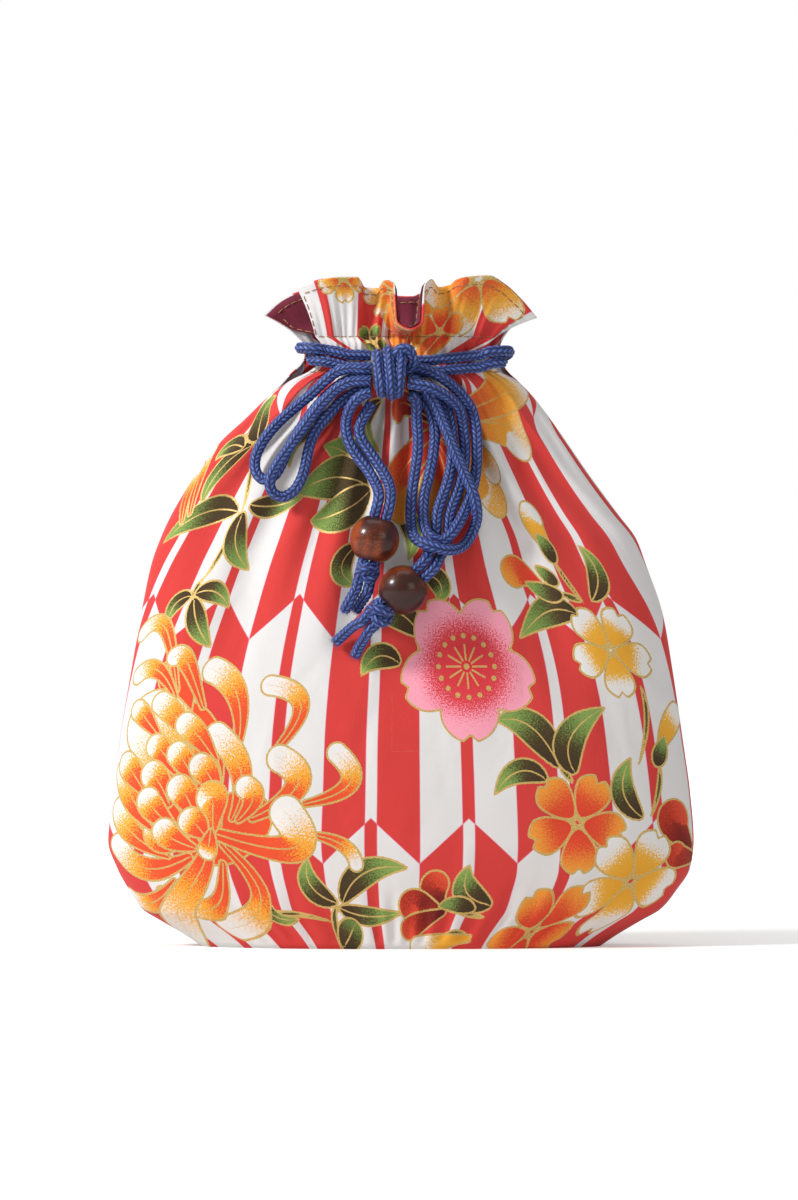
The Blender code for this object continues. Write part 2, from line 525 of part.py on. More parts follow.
def casing_cord(name, way, height_share, material, collection):
    """Cord that runs right round inside the casing and turns at the far side."""
    level = CASING_MIDDLE_SHARE * BODY_HEIGHT + height_share * PITCH
    near, far = way * turn_place(way), -way * turn_place(-way)
    start = [(near + way * out * PITCH, depth * PITCH, level) for out, depth in CASING_START_SHARES]
    end = [(near + way * out * PITCH, depth * PITCH, level) for out, depth in CASING_END_SHARES]
    angles = np.radians(np.linspace(-90, 90, 7))
    turn = [(far - way * CASING_RUN * math.cos(a), CASING_RUN * math.sin(a), level) for a in angles]
    return cord(name, start + turn + end, material, collection)


def pendant(name, way, shares, offset, lead, material, collection):
    """Strand from the bow knot that ends inside its bead."""
    points = [lay_point(*p) for p in shares] + bore_points(way, offset, lead)
    return cord(name, points, material, collection)


def loop(name, shares, material, collection):
    """Loop of the bow, from the knot and back to it."""
    return cord(name, [lay_point(*p) for p in shares], material, collection)


def tail(name, way, offset, shares, material, collection):
    """Short free end below an end knot."""
    start, down = tail_start(way, offset), -bead_axes(way)[0]
    points = [start, start + down * TAIL_LEAD_SHARE * PITCH] + [lay_point(*p) for p in shares]
    return cord(name, points, material, collection)


def rounded(angle):
    """Point of a rounded square of half-size one."""
    power = 2 / SQUARENESS
    return (math.copysign(abs(math.cos(angle)) ** power, math.cos(angle)),
            math.copysign(abs(math.sin(angle)) ** power, math.sin(angle)))


def knot_centre():
    """Centre of the bow knot, in front of the gathered neck."""
    z = BOW_KNOT_HEIGHT_SHARE * BODY_HEIGHT
    y = -(front_depth(BOW_KNOT_OFFSET, z) + KNOT_STANDOFF_SHARE * PITCH)
    return Vector((BOW_KNOT_OFFSET, y, z))


def knot_path(half_sizes, steps):
    """Leaning closed line round the knot in its middle plane, with outward directions."""
    lines = []
    for k in range(steps):
        y, z = rounded(2 * math.pi * k / steps)
        lines.append(Vector((0, y * half_sizes[0] * PITCH, z * half_sizes[1] * PITCH)))
    lean = [Vector((0, v.y * math.cos(KNOT_LEAN) + v.z * math.sin(KNOT_LEAN),
                    v.z * math.cos(KNOT_LEAN) - v.y * math.sin(KNOT_LEAN))) for v in lines]
    return lean


def knot_core(material, collection):
    """Heart of the bow knot with flat ends where the strands leave."""
    path = knot_path(BOW_KNOT_SHARES, ROUND_SIDES)
    mesh = bmesh.new()
    rings = [[mesh.verts.new(p + Vector((x, 0, 0))) for p in path]
             for x in (-BOW_KNOT_WIDTH / 2, BOW_KNOT_WIDTH / 2)]
    bridge(mesh, rings)
    cap(mesh, rings[0])
    cap(mesh, rings[-1])
    return finish(mesh, "bow_knot", material, collection, knot_centre())


def wrap_ring(name, place, half_sizes, turn, material, collection):
    """One turn of cord round the knot."""
    path = knot_path(half_sizes, RING_STEPS)
    spin = math.cos(turn), math.sin(turn)
    mesh = bmesh.new()
    rings = []
    for point in path:
        out = point.normalized()
        ring = []
        for k in range(RING_SIDES):
            angle = 2 * math.pi * k / RING_SIDES
            v = point + out * (math.cos(angle) * CORD_DIAMETER / 2)
            v = v + Vector((math.sin(angle) * CORD_DIAMETER / 2, 0, 0))
            v = Vector((v.x * spin[0] + v.z * spin[1], v.y, v.z * spin[0] - v.x * spin[1]))
            ring.append(mesh.verts.new(v + Vector((place * BOW_KNOT_WIDTH, 0, 0))))
        rings.append(ring)
    bridge(mesh, rings + [rings[0]])
    return finish(mesh, name, material, collection, knot_centre())


def bridge(mesh, rings):
    """Joins neighbouring rings with quads."""
    for a, b in zip(rings[:-1], rings[1:]):
        count = len(a)
        for k in range(count):
            mesh.faces.new((a[k], a[(k + 1) % count], b[(k + 1) % count], b[k]))


def cap(mesh, ring):
    """Closes a ring with one flat face."""
    mesh.faces.new(ring)


def finish(mesh, name, material, collection, location):
    """Turns a closed mesh into a named, smoothly shaded piece."""
    bmesh.ops.recalc_face_normals(mesh, faces=mesh.faces)
    data = bpy.data.meshes.new(name)
    mesh.to_mesh(data)
    mesh.free()
    data.shade_smooth()
    return place_object(name, data, material, collection, location)


def bow_knot(material, collection, tools):
    """Knot with three upright turns and a slanting turn at its upper right."""
    core = knot_core(material, collection)
    turns = [(place, WRAP_SHARES, 0.0) for place in WRAP_PLACE_SHARES]
    turns.append((BULGE_PLACE_SHARE, BULGE_SHARES, BULGE_TURN))
    for number, (place, sizes, turn) in enumerate(turns):
        ring = wrap_ring(f"knot_turn_{number}", place, sizes, turn, material, tools)
        ring.hide_render = True
        ring.display_type = "WIRE"
        join = core.modifiers.new(f"turn_{number}", "BOOLEAN")
        join.operation = "UNION"
        join.solver = "EXACT"
        join.object = ring
    return core


def axis_rings(mesh, profile, way):
    """Rings of a turned body about a bead's axis, from (height, radius) pairs."""
    up, across = (Vector(v) for v in bead_axes(way))
    side = up.cross(across)
    rings = []
    for height, radius in profile:
        ring = []
        for k in range(ROUND_SIDES):
            angle = 2 * math.pi * k / ROUND_SIDES
            out = across * math.cos(angle) + side * math.sin(angle)
            ring.append(mesh.verts.new(up * height + out * radius))
        rings.append(ring)
    return rings


def bead(name, way, material, collection):
    """Wooden bead with a straight bore, centred on its slide axis."""
    face = BORE_RADIUS + (BEAD_DIAMETER / 2 - BORE_RADIUS) * (1 - BEAD_FACE_SHARE)
    arc = []
    for angle in np.linspace(math.pi / 2, -math.pi / 2, BEAD_ARC_STEPS):
        height = BEAD_LENGTH / 2 * math.sin(angle)
        arc.append((height, face + (BEAD_DIAMETER / 2 - face) * math.cos(angle)))
    profile = [(BEAD_LENGTH / 2, BORE_RADIUS)] + arc + [(-BEAD_LENGTH / 2, BORE_RADIUS)]
    mesh = bmesh.new()
    rings = axis_rings(mesh, profile, way)
    bridge(mesh, rings + [rings[0]])
    return finish(mesh, name, material, collection, bead_centre(way))


def end_knot(name, way, radius, material, collection):
    """Knot below a bead that keeps the bead on its cord."""
    top = BEAD_LENGTH / 2 + PIECE_CLEARANCE
    profile = [(-top - along * END_KNOT_LENGTH, radius * wide) for along, wide in BARREL_SHARES]
    mesh = bmesh.new()
    rings = axis_rings(mesh, profile, way)
    bridge(mesh, rings)
    cap(mesh, rings[0])
    cap(mesh, rings[-1])
    return finish(mesh, name, material, collection, bead_centre(way))


def new_material(name, colour, roughness):
    """A plain surface in one colour."""
    material = bpy.data.materials.new(name)
    material.use_nodes = True
    shader = material.node_tree.nodes["Principled BSDF"]
    shader.inputs["Base Color"].default_value = (*colour, 1)
    shader.inputs["Roughness"].default_value = roughness
    return material


def build_cloth(collection):
    """Outer panels and linings."""
    outer_rows, lining_rows = shut_count(OUTER_ROW_SHARES), shut_count(LINING_ROW_SHARES)
    for side, label in ((FRONT, "front"), (BACK, "back")):
        print_cloth = new_material(f"outer_{label}_cotton", (0.72, 0.10, 0.08), 0.85)
        plain_cloth = new_material(f"lining_{label}_cotton", (0.20, 0.02, 0.05), 0.85)
        sheet(f"outer_{label}_panel", outer_grid(side), CLOTH_THICKNESS, side, outer_rows,
              print_cloth, collection)
        sheet(f"lining_{label}_panel", lining_grid(side), LINING_THICKNESS, side, lining_rows,
              plain_cloth, collection)


def build_cords(collection):
    """All stretches of both cords."""
    def braid(name):
        return new_material(f"{name}_braid", (0.02, 0.05, 0.38), 0.7)

    casing_cord("left_cord_in_casing", -1, LEFT_RING_SHARE, braid("left_ring"), collection)
    casing_cord("right_cord_in_casing", 1, RIGHT_RING_SHARE, braid("right_ring"), collection)
    necks = (("left_neck_strand_upper", -1, LEFT_NECK_UPPER_SHARES),
             ("left_neck_strand_lower", -1, LEFT_NECK_LOWER_SHARES),
             ("right_neck_strand_upper", 1, RIGHT_NECK_UPPER_SHARES),
             ("right_neck_strand_lower", 1, RIGHT_NECK_LOWER_SHARES))
    for name, way, shares in necks:
        neck_strand(name, way, shares, braid(name), collection)
    loops = (("left_outer_loop", LEFT_OUTER_LOOP_SHARES), ("left_inner_loop", LEFT_INNER_LOOP_SHARES),
             ("right_inner_loop", RIGHT_INNER_LOOP_SHARES), ("right_outer_loop", RIGHT_OUTER_LOOP_SHARES))
    for name, shares in loops:
        loop(name, shares, braid(name), collection)
    near, far = -STRAND_OFFSET_SHARE, STRAND_OFFSET_SHARE
    pendants = (("left_pendant_strand_a", -1, LEFT_PENDANT_A_SHARES, near, LEFT_LEAD_SHARE),
                ("left_pendant_strand_b", -1, LEFT_PENDANT_B_SHARES, far, LEFT_LEAD_SHARE),
                ("right_pendant_strand_a", 1, RIGHT_PENDANT_A_SHARES, far, RIGHT_LEAD_SHARE),
                ("right_pendant_strand_b", 1, RIGHT_PENDANT_B_SHARES, near, RIGHT_LEAD_SHARE))
    for name, way, shares, offset, lead in pendants:
        pendant(name, way, shares, offset, lead, braid(name), collection)
    tails = (("left_tail_a", -1, near, LEFT_TAIL_A_SHARES), ("left_tail_b", -1, far, LEFT_TAIL_B_SHARES),
             ("right_tail_a", 1, near, RIGHT_TAIL_A_SHARES), ("right_tail_b", 1, far, RIGHT_TAIL_B_SHARES))
    for name, way, offset, shares in tails:
        tail(name, way, offset, shares, braid(name), collection)


def build_knots(collection, tools):
    """Bow knot, beads and end knots."""
    bow_knot(new_material("bow_knot_braid", (0.02, 0.05, 0.38), 0.7), collection, tools)
    for label, way, radius in (("left", -1, LEFT_KNOT_RADIUS), ("right", 1, RIGHT_KNOT_RADIUS)):
        bead(f"{label}_bead", way, new_material(f"{label}_bead_wood", (0.10, 0.03, 0.015), 0.25), collection)
        end_knot(f"{label}_end_knot", way, radius,
                 new_material(f"{label}_end_knot_braid", (0.02, 0.05, 0.38), 0.7), collection)


def main():
    """Clears the scene and builds every piece."""
    for item in list(bpy.data.objects):
        bpy.data.objects.remove(item)
    collection = bpy.data.collections.new("drawstring_pouch")
    tools = bpy.data.collections.new("joining_tools")
    for group in (collection, tools):
        bpy.context.scene.collection.children.link(group)
    build_cloth(collection)
    build_cords(collection)
    build_knots(collection, tools)


main()
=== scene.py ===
"""Dressed drawstring pouch: printed cotton, braided cords, wooden beads and a plain studio.

The pouch stands on its flattened base with its bow facing -Y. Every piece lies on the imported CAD
model, in metres, with +Z up. The routes and sizes below are those of the CAD part.
"""

import logging
import math
from dataclasses import dataclass
from enum import Enum
from functools import partial
from typing import Any, Optional, Sequence, Union

import bpy
import numpy as np
from numpy.typing import NDArray
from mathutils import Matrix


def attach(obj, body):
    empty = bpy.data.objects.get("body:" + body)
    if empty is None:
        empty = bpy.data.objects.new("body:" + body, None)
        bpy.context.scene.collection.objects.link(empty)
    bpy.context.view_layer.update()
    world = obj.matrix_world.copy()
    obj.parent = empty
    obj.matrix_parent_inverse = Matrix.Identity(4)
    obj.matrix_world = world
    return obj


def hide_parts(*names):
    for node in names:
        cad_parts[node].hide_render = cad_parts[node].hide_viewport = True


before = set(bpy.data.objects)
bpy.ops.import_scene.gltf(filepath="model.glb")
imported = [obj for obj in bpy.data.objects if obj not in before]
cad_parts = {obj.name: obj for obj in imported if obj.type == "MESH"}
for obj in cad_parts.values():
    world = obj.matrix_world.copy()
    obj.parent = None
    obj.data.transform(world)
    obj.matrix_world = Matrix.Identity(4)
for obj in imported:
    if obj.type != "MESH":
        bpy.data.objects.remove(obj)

Array = NDArray[np.float64]
Point = Sequence[float]
Faces = NDArray[np.int64]
Span = tuple[float, float]
Table = tuple[tuple[float, ...], ...]
Marks = tuple[tuple[int, ...], ...]
log = logging.getLogger("pouch")
Finish = bpy.types.Material
Node = bpy.types.Node
Piece = bpy.types.Object
Socket = bpy.types.NodeSocket
Tree = bpy.types.NodeTree
Inputs = dict[Union[str, int], Any]
MM = 0.001
ROWS, COLUMNS = 268, 288  # quads up and across an outer panel
LAYERS = 20  # printed shapes that may lie over each other
FAR_AWAY = 9.0  # millimetres from a printed shape where the cloth is bare
NO_HEART = 99.0  # millimetres from a flower's heart where there is none


class Side(Enum):
    """Which panel of the pouch, with its direction along Y."""

    FRONT = -1
    BACK = 1

    def pick(self, front: Any, back: Any) -> Any:
        """The front's or the back's one of two things."""
        return front if self is Side.FRONT else back


class Hand(Enum):
    """Which cord of the pouch, with its direction along X."""

    LEFT = -1
    RIGHT = 1

    def pick(self, left: Any, right: Any) -> Any:
        """The left's or the right's one of two things."""
        return left if self is Hand.LEFT else right


class Ink(Enum):
    """Colour run that fills a printed shape, from its root to its tip."""

    FLAME = 0
    CREAM = 1
    ORANGE = 2
    PINK = 3
    LEAF = 4
    CRIMSON = 5
    STEM = 6
    AMBER = 7


def linear(code: str) -> tuple[float, float, float, float]:
    """Turns an sRGB hex colour into linear light.

    Args:
        code: six hex digits with a leading hash.

    Returns:
        Red, green, blue and a full alpha. Each channel is the sRGB curve undone: small values are
        divided by 12.92, the others are ((value + 0.055) / 1.055) to the power 2.4.
    """
    values = [int(code[k:k + 2], 16) / 255 for k in (1, 3, 5)]
    red, green, blue = (v / 12.92 if v <= 0.04045 else ((v + 0.055) / 1.055) ** 2.4 for v in values)
    return red, green, blue, 1.0


def smooth(at: Array, keys: Array, values: Array) -> Array:
    """Reads a smooth curve that never swings past its keys.

    Between two keys the value is a cubic whose end slopes are the harmonic means of the
    neighbouring secants, or nought where these differ in sign.

    Args:
        at: places to read.
        keys: rising places of the known values.
        values: known values.

    Returns:
        The values at the places.
    """
    keys, values = np.asarray(keys, float), np.asarray(values, float)
    secants = np.diff(values) / np.diff(keys)
    before, after = secants[:-1], secants[1:]
    same = before * after > 0
    inner = np.where(same, 2 * before * after / np.where(same, before + after, 1), 0)
    slopes = np.concatenate(([secants[0]], inner, [secants[-1]]))
    spot = np.clip(np.searchsorted(keys, at, side="right") - 1, 0, len(keys) - 2)
    width = keys[spot + 1] - keys[spot]
    t = (at - keys[spot]) / width
    start, end = values[spot], values[spot + 1]
    rise, fall = slopes[spot] * width, slopes[spot + 1] * width
    blend = t * t * (3 - 2 * t)
    return start + (end - start) * blend + rise * t * (1 - t) ** 2 - fall * t * t * (1 - t)


def circle(count: int) -> Array:
    """Angles of even places round a circle."""
    return np.linspace(0, 2 * math.pi, count + 1)[:-1]


def fade(at: Array, start: float, end: float) -> Array:
    """Grows from nought at start to one at end along 3t^2 - 2t^3."""
    t = np.clip((at - start) / (end - start), 0, 1)
    return t * t * (3 - 2 * t)


def unit(vectors: Array) -> Array:
    """Scales vectors to length one along their last axis."""
    return vectors / np.maximum(np.linalg.norm(vectors, axis=-1, keepdims=True), 1e-12)


def lengths(line: Array) -> Array:
    """Length along a line of points, from nought at the first to each of them."""
    return np.concatenate(([0], np.cumsum(np.linalg.norm(np.diff(line, axis=0), axis=1))))


def read_line(at: Array, length: Array, line: Array) -> Array:
    """Places on a line at lengths along it; x, y and z are the last axis."""
    return np.stack([np.interp(at, length, line[:, k]) for k in range(3)], -1)


def grid_faces(rows: int, columns: int, first: int = 0, flip: bool = False) -> Faces:
    """Quads of a grid of points stored row by row.

    Args:
        rows: rows of quads.
        columns: columns of quads.
        first: index of the grid's first point.
        flip: turns every quad over.

    Returns:
        Four point indices for each quad: (r, c), (r, c + 1), (r + 1, c + 1), (r + 1, c).
    """
    r, c = np.meshgrid(np.arange(rows), np.arange(columns), indexing="ij")
    a = (first + r * (columns + 1) + c).ravel()
    quads = np.stack([a, a + 1, a + columns + 2, a + columns + 1], 1)
    return quads[:, ::-1] if flip else quads


def ring_faces(rings: int, sides: int, closed: bool = False) -> Faces:
    """Quads between rings of points that are stored one after the other.

    Args:
        rings: number of rings.
        sides: points of a ring.
        closed: joins the last ring to the first.

    Returns:
        Four point indices for each quad: k and k + 1 of ring r, then k + 1 and k of ring r + 1.
    """
    r, k = np.meshgrid(np.arange(rings if closed else rings - 1), np.arange(sides), indexing="ij")
    above, over = (r + 1) % rings * sides, (k + 1) % sides
    return np.stack([r * sides + k, r * sides + over, above + over, above + k], 2).reshape(-1, 4)


def new_piece(name: str, points: Array, faces: Sequence[Faces], finish: Finish,
              smooth_shaded: bool = True) -> Piece:
    """Makes a mesh object at the origin from whole arrays.

    Args:
        name: piece name.
        points: one row of x, y, z for each vertex.
        faces: groups of faces, each with its own number of corners.
        finish: material of the whole piece.
        smooth_shaded: rounds the shading over the faces.

    Returns:
        The new object.
    """
    mesh = bpy.data.meshes.new(name)
    corners = np.concatenate([np.asarray(group).ravel() for group in faces]).astype(np.int32)
    totals = np.concatenate([np.full(len(group), np.shape(group)[1]) for group in faces])
    starts = np.concatenate(([0], np.cumsum(totals)[:-1])).astype(np.int32)
    mesh.vertices.add(len(points))
    mesh.vertices.foreach_set("co", np.ascontiguousarray(points, np.float32).ravel())
    mesh.loops.add(len(corners))
    mesh.loops.foreach_set("vertex_index", corners)
    mesh.polygons.add(len(totals))
    mesh.polygons.foreach_set("loop_start", starts)
    mesh.update(calc_edges=True)
    mesh.validate()
    if smooth_shaded:
        mesh.shade_smooth()
    mesh.materials.append(finish)
    piece = bpy.data.objects.new(name, mesh)
    bpy.context.scene.collection.objects.link(piece)
    return piece


def store(piece: Piece, name: str, values: Array) -> None:
    """Keeps one value, vector or colour for each vertex under a name that materials read.

    Args:
        piece: mesh object.
        name: attribute name.
        values: one row for each vertex, with one, three or four numbers.
    """
    width = 1 if values.ndim == 1 else values.shape[1]
    kind, key = {1: ("FLOAT", "value"), 3: ("FLOAT_VECTOR", "vector"),
                 4: ("FLOAT_COLOR", "color")}[width]
    held = piece.data.attributes.new(name, kind, "POINT")
    held.data.foreach_set(key, np.ascontiguousarray(values, np.float32).ravel())


def feed(tree: Tree, node: Node, inputs: Inputs) -> None:
    """Links or sets a node's inputs.

    Args:
        tree: node tree that holds the node.
        node: node to feed.
        inputs: for each input, a socket to link or a value to set.
    """
    for key, value in inputs.items():
        if isinstance(value, Socket):
            tree.links.new(value, node.inputs[key])
        else:
            node.inputs[key].default_value = value


def add_node(tree: Tree, kind: str, inputs: Optional[Inputs] = None, **settings: Any) -> Node:
    """Adds one node with its settings and links.

    Args:
        tree: node tree of a material or world.
        kind: node type without the words ShaderNode.
        inputs: for each input, a socket to link or a value to set.
        settings: properties of the node itself.

    Returns:
        The new node.
    """
    node = tree.nodes.new("ShaderNode" + kind)
    for key, value in settings.items():
        setattr(node, key, value)
    feed(tree, node, inputs or {})
    return node


def calc(tree: Tree, kind: str, operation: str, *values: Any) -> Socket:
    """First output of a node that does one operation on sockets and values, in their order."""
    return add_node(tree, kind, dict(enumerate(values)), operation=operation).outputs[0]


def set_stops(ramp: bpy.types.ColorRamp, stops: Sequence[tuple[float, str]]) -> None:
    """Puts hex colours at their places on a colour ramp.

    Args:
        ramp: ramp to fill.
        stops: place and colour of each stop, in rising order.
    """
    while len(ramp.elements) < len(stops):
        ramp.elements.new(1.0)
    for element, (place, code) in zip(ramp.elements, stops):
        element.position = place
        element.color = linear(code)


def new_material(name: str) -> tuple[Finish, Tree, Node]:
    """Starts a material.

    Args:
        name: material name.

    Returns:
        The material, its node tree and its surface shader.
    """
    made = bpy.data.materials.new(name)
    made.use_nodes = True
    return made, made.node_tree, made.node_tree.nodes["Principled BSDF"]


@dataclass(frozen=True)
class PouchForm:
    """Curved form of the pouch, as the CAD part has it, with finer gathers on its cloth.

    A body level gives its height share and its left half-width, right half-width and depth, as
    shares of the sizes, and a neck level also the depth left at the side seams. A rim place gives
    the place across the cloth and the shares of the header's sizes across, out and up. A crease
    gives its places across at the top and the foot, the height shares of both, its width as a
    share and its depth in millimetres.
    """

    body_height: float = 0.2196
    header_height: float = 0.0216
    half_width: float = 0.106
    half_depth: float = 0.031
    header_half_width: float = 0.050
    header_reach: float = 0.020
    cloth_thickness: float = 0.0006
    lining_thickness: float = 0.0005
    pleat_depth: float = 0.0032
    drape_depth: float = 0.0026
    crease_gain: float = 2.6
    gather_depth: float = 0.0034
    hidden_share: float = 0.45
    casing_half_opening: float = 0.0030
    casing_bulge: float = 0.0021
    seam_gap: float = 0.00004
    cad_seam_gap: float = 0.0003
    layer_gap: float = 0.0003
    neck_depth: float = 0.0132
    cloth_half_width: float = 0.116
    base_fold: float = 0.020
    header_rise: float = 0.026
    slit_foot_share: float = 0.906
    casing_middle_share: float = 0.9715
    pleats: int = 8
    drapes: int = 4
    body_shares: Table = (
        (0, 0.68, 0.68, 0.775), (0.018, 0.735, 0.735, 0.82), (0.041, 0.816, 0.816, 0.86),
        (0.061, 0.882, 0.887, 0.9), (0.091, 0.925, 0.939, 0.94), (0.1275, 0.967, 0.986, 0.975),
        (0.173, 0.998, 0.998, 1), (0.255, 0.977, 0.985, 1), (0.337, 0.958, 0.961, 0.985),
        (0.455, 0.918, 0.925, 0.945), (0.546, 0.885, 0.892, 0.9), (0.628, 0.85, 0.834, 0.85),
        (0.669, 0.82, 0.802, 0.82), (0.71, 0.781, 0.74, 0.785), (0.751, 0.732, 0.677, 0.745),
        (0.788, 0.68, 0.622, 0.705), (0.829, 0.615, 0.564, 0.655), (0.865, 0.534, 0.511, 0.605),
        (0.906, 0.445, 0.445, 0.545))
    front_neck_shares: Table = (
        (0.929, 0.378, 0.395, 1.245, 0.245), (0.944, 0.312, 0.337, 1.135, 0.535),
        (0.957, 0.28, 0.31, 1.062, 0.67), (0.971, 0.272, 0.302, 1.015, 0.71),
        (0.988, 0.272, 0.302, 0.99, 0.695), (1, 0.29, 0.325, 0.842, 0.585))
    back_neck_shares: Table = (
        (0.929, 0.4, 0.4, 1.245, 0.15), (0.944, 0.373, 0.368, 1.135, 0.37),
        (0.957, 0.345, 0.35, 1.062, 0.56), (0.971, 0.33, 0.34, 1.015, 0.67),
        (0.988, 0.33, 0.34, 0.99, 0.66), (1, 0.35, 0.35, 0.842, 0.585))
    front_rim_shares: Table = (
        (-1, -0.75, 0.475, 0.81), (-0.875, -0.68, 0.625, 0.87), (-0.75, -0.58, 0.8, 0.935),
        (-0.625, -0.45, 0.925, 0.97), (-0.5, -0.31, 0.925, 0.97), (-0.4375, -0.288, 0.775, 0.925),
        (-0.375, -0.256, 0.5, 0.82), (-0.3125, -0.17, 0.55, 0.805), (-0.25, -0.12, 0.85, 0.92),
        (-0.1875, -0.056, 0.925, 0.87), (-0.125, -0.048, 1.075, 0.575), (-0.0625, -0.036, 1.3, 0.227),
        (0, 0.064, 1.4, 0.08), (0.0625, 0.164, 1.3, 0.227), (0.125, 0.168, 1.075, 0.575),
        (0.1875, 0.176, 0.85, 0.83), (0.25, 0.224, 0.675, 0.95), (0.3125, 0.274, 0.475, 0.83),
        (0.375, 0.346, 0.475, 0.86), (0.4375, 0.4, 0.7, 0.945), (0.5, 0.47, 0.9, 0.98),
        (0.625, 0.62, 0.925, 1), (0.75, 0.74, 0.775, 0.87), (0.875, 0.87, 0.6, 0.606),
        (1, 0.98, 0.45, 0.315))
    back_rim_shares: Table = (
        (-1, -1, 0.25, 0.39), (-0.875, -0.88, 0.45, 0.64), (-0.75, -0.72, 0.65, 0.805),
        (-0.625, -0.57, 0.85, 0.85), (-0.5, -0.44, 0.8, 0.83), (-0.4375, -0.38, 0.575, 0.76),
        (-0.3125, -0.3, 0.6, 0.76), (-0.25, -0.24, 0.9, 0.83), (-0.125, -0.11, 0.95, 0.78),
        (-0.0625, -0.04, 0.7, 0.727), (0.0625, 0.07, 0.675, 0.713), (0.125, 0.14, 0.925, 0.78),
        (0.25, 0.27, 0.95, 0.85), (0.3125, 0.34, 0.65, 0.78), (0.4375, 0.42, 0.625, 0.78),
        (0.5, 0.48, 0.9, 0.85), (0.625, 0.61, 0.9, 0.83), (0.75, 0.72, 0.7, 0.736),
        (0.875, 0.82, 0.475, 0.574), (1, 0.9, 0.275, 0.39))
    rim_turn_shares: Point = (0.35, 0.20, 0.55)
    front_creases: Table = (
        (-0.6, -0.82, 0.93, 0.5, 0.06, 1.6), (-0.42, -0.64, 0.94, 0.34, 0.07, 2.4),
        (-0.24, -0.42, 0.94, 0.46, 0.05, 1.8), (-0.11, -0.2, 0.94, 0.4, 0.045, 2),
        (0.03, 0.02, 0.94, 0.34, 0.05, 2.2), (0.17, 0.26, 0.94, 0.44, 0.045, 1.9),
        (0.33, 0.6, 0.94, 0.32, 0.065, 2.6), (0.5, 0.74, 0.93, 0.48, 0.05, 1.7),
        (0.68, 0.88, 0.93, 0.56, 0.055, 1.4))
    back_creases: Table = (
        (-0.66, -0.8, 0.93, 0.52, 0.055, 1.6), (-0.46, -0.6, 0.94, 0.36, 0.065, 2.3),
        (-0.28, -0.34, 0.94, 0.48, 0.05, 1.8), (-0.1, -0.14, 0.94, 0.36, 0.05, 2.1),
        (0.1, 0.16, 0.94, 0.46, 0.045, 1.8), (0.3, 0.46, 0.94, 0.34, 0.065, 2.4),
        (0.5, 0.6, 0.94, 0.5, 0.05, 1.7), (0.68, 0.84, 0.93, 0.52, 0.055, 1.5))
    puckers: int = 26
    pucker_depth: float = 0.0009
    header_print_share: float = 0.52
    gathers_from_share: float = 0.945
    pleat_starts: Span = (0.75, 0.935)
    gather_starts: Span = (0.66, 0.86)
    gather_ends: Span = (0.885, 0.935)
    drape_starts: Span = (0.56, 0.86)
    pucker_starts: Span = (0.005, 0.02)
    pucker_ends: Span = (0.03, 0.12)
    lining_top_share: float = 0.95
    lining_drawn_shares: Span = (0.885, 0.940)
    lining_freed_share: float = 0.990
    lining_freed_lift: float = 0.35
    lining_cord_room: float = 0.80
    photo_middle: float = 401
    photo_floor: float = 947
    photo_scale: float = 0.36

    def rows(self, side: Side) -> Array:
        """Levels of one panel.

        Args:
            side: which panel.

        Returns:
            Height share, then left and right half-width, depth and edge in metres, for each level.
        """
        across = self.half_width
        body = np.pad(np.array(self.body_shares), ((0, 0), (0, 1)))
        neck = np.array(side.pick(self.front_neck_shares, self.back_neck_shares))
        return np.vstack([body * (1, across, across, self.half_depth, 1),
                          neck * (1, across, across, self.neck_depth, self.neck_depth)])

    def section(self, side: Side, share: Array) -> list[Array]:
        """Left and right half-width, depth and edge of a panel at height shares."""
        rows = self.rows(side)
        return [smooth(np.asarray(share, float), rows[:, 0], rows[:, k]) for k in range(1, 5)]

    def cloth_angles(self, columns: int) -> Array:
        """Angles about the belly that space columns evenly along the cloth.

        The belly is the half-ellipse of the widest level. Its length is summed over many short
        chords, and each column takes the angle at its even share of that length.

        Args:
            columns: number of columns.

        Returns:
            One angle more than columns, from -90 to 90 degrees, in radians.
        """
        angle = np.linspace(-math.pi / 2, math.pi / 2, 2000)
        x, y = self.half_width * np.sin(angle), self.half_depth * np.cos(angle)
        length = np.concatenate(([0], np.cumsum(np.hypot(np.diff(x), np.diff(y)))))
        return np.interp(np.linspace(0, length[-1], columns + 1), length, angle)

    def folds(self, side: Side, share: Array, place: Array) -> Array:
        """Depth of the gathers and soft creases, taken inward from the crests.

        Near the casing eight raised-cosine pleats, bent a little sideways, are mixed with narrow
        ones, and stand deeper just below it. Creases and small puckers along the base are added.

        Args:
            side: which panel.
            share: height shares, as a column.
            place: places across the cloth from -1 to 1, as a row.

        Returns:
            Depths in metres on the grid of shares and places.
        """
        bent = place + 0.012 * np.sin(7.3 * place + 1.1) + 0.006 * np.sin(17.0 * place)
        broad = (1 - np.cos(math.pi * self.pleats * (bent + 1))) / 2
        wavy = place + 0.02 * np.sin(9 * place)
        narrow = (1 - np.cos(math.pi * 3.1 * self.pleats * (wavy + 1))) / 2
        pleat_fade = fade(share, *self.pleat_starts)
        deep = self.pleat_depth * pleat_fade * np.clip(0.72 * broad + 0.28 * narrow, 0, 1)
        drape = (1 - np.cos(math.pi * self.drapes * (place + 1))) / 2
        deep = deep + (self.gather_depth * broad * fade(share, *self.gather_starts)
                       * (1 - fade(share, *self.gather_ends)))
        slack = self.drape_depth * fade(share, *self.drape_starts) * (1 - pleat_fade) * drape
        total = np.maximum(deep, slack) + self.creases(side, share, place)[0]
        wave = (1 - np.cos(math.pi * self.puckers * (place + 0.03 * np.sin(11 * place)))) / 2
        return total + (self.pucker_depth * wave * fade(share, *self.pucker_starts)
                        * (1 - fade(share, *self.pucker_ends)))

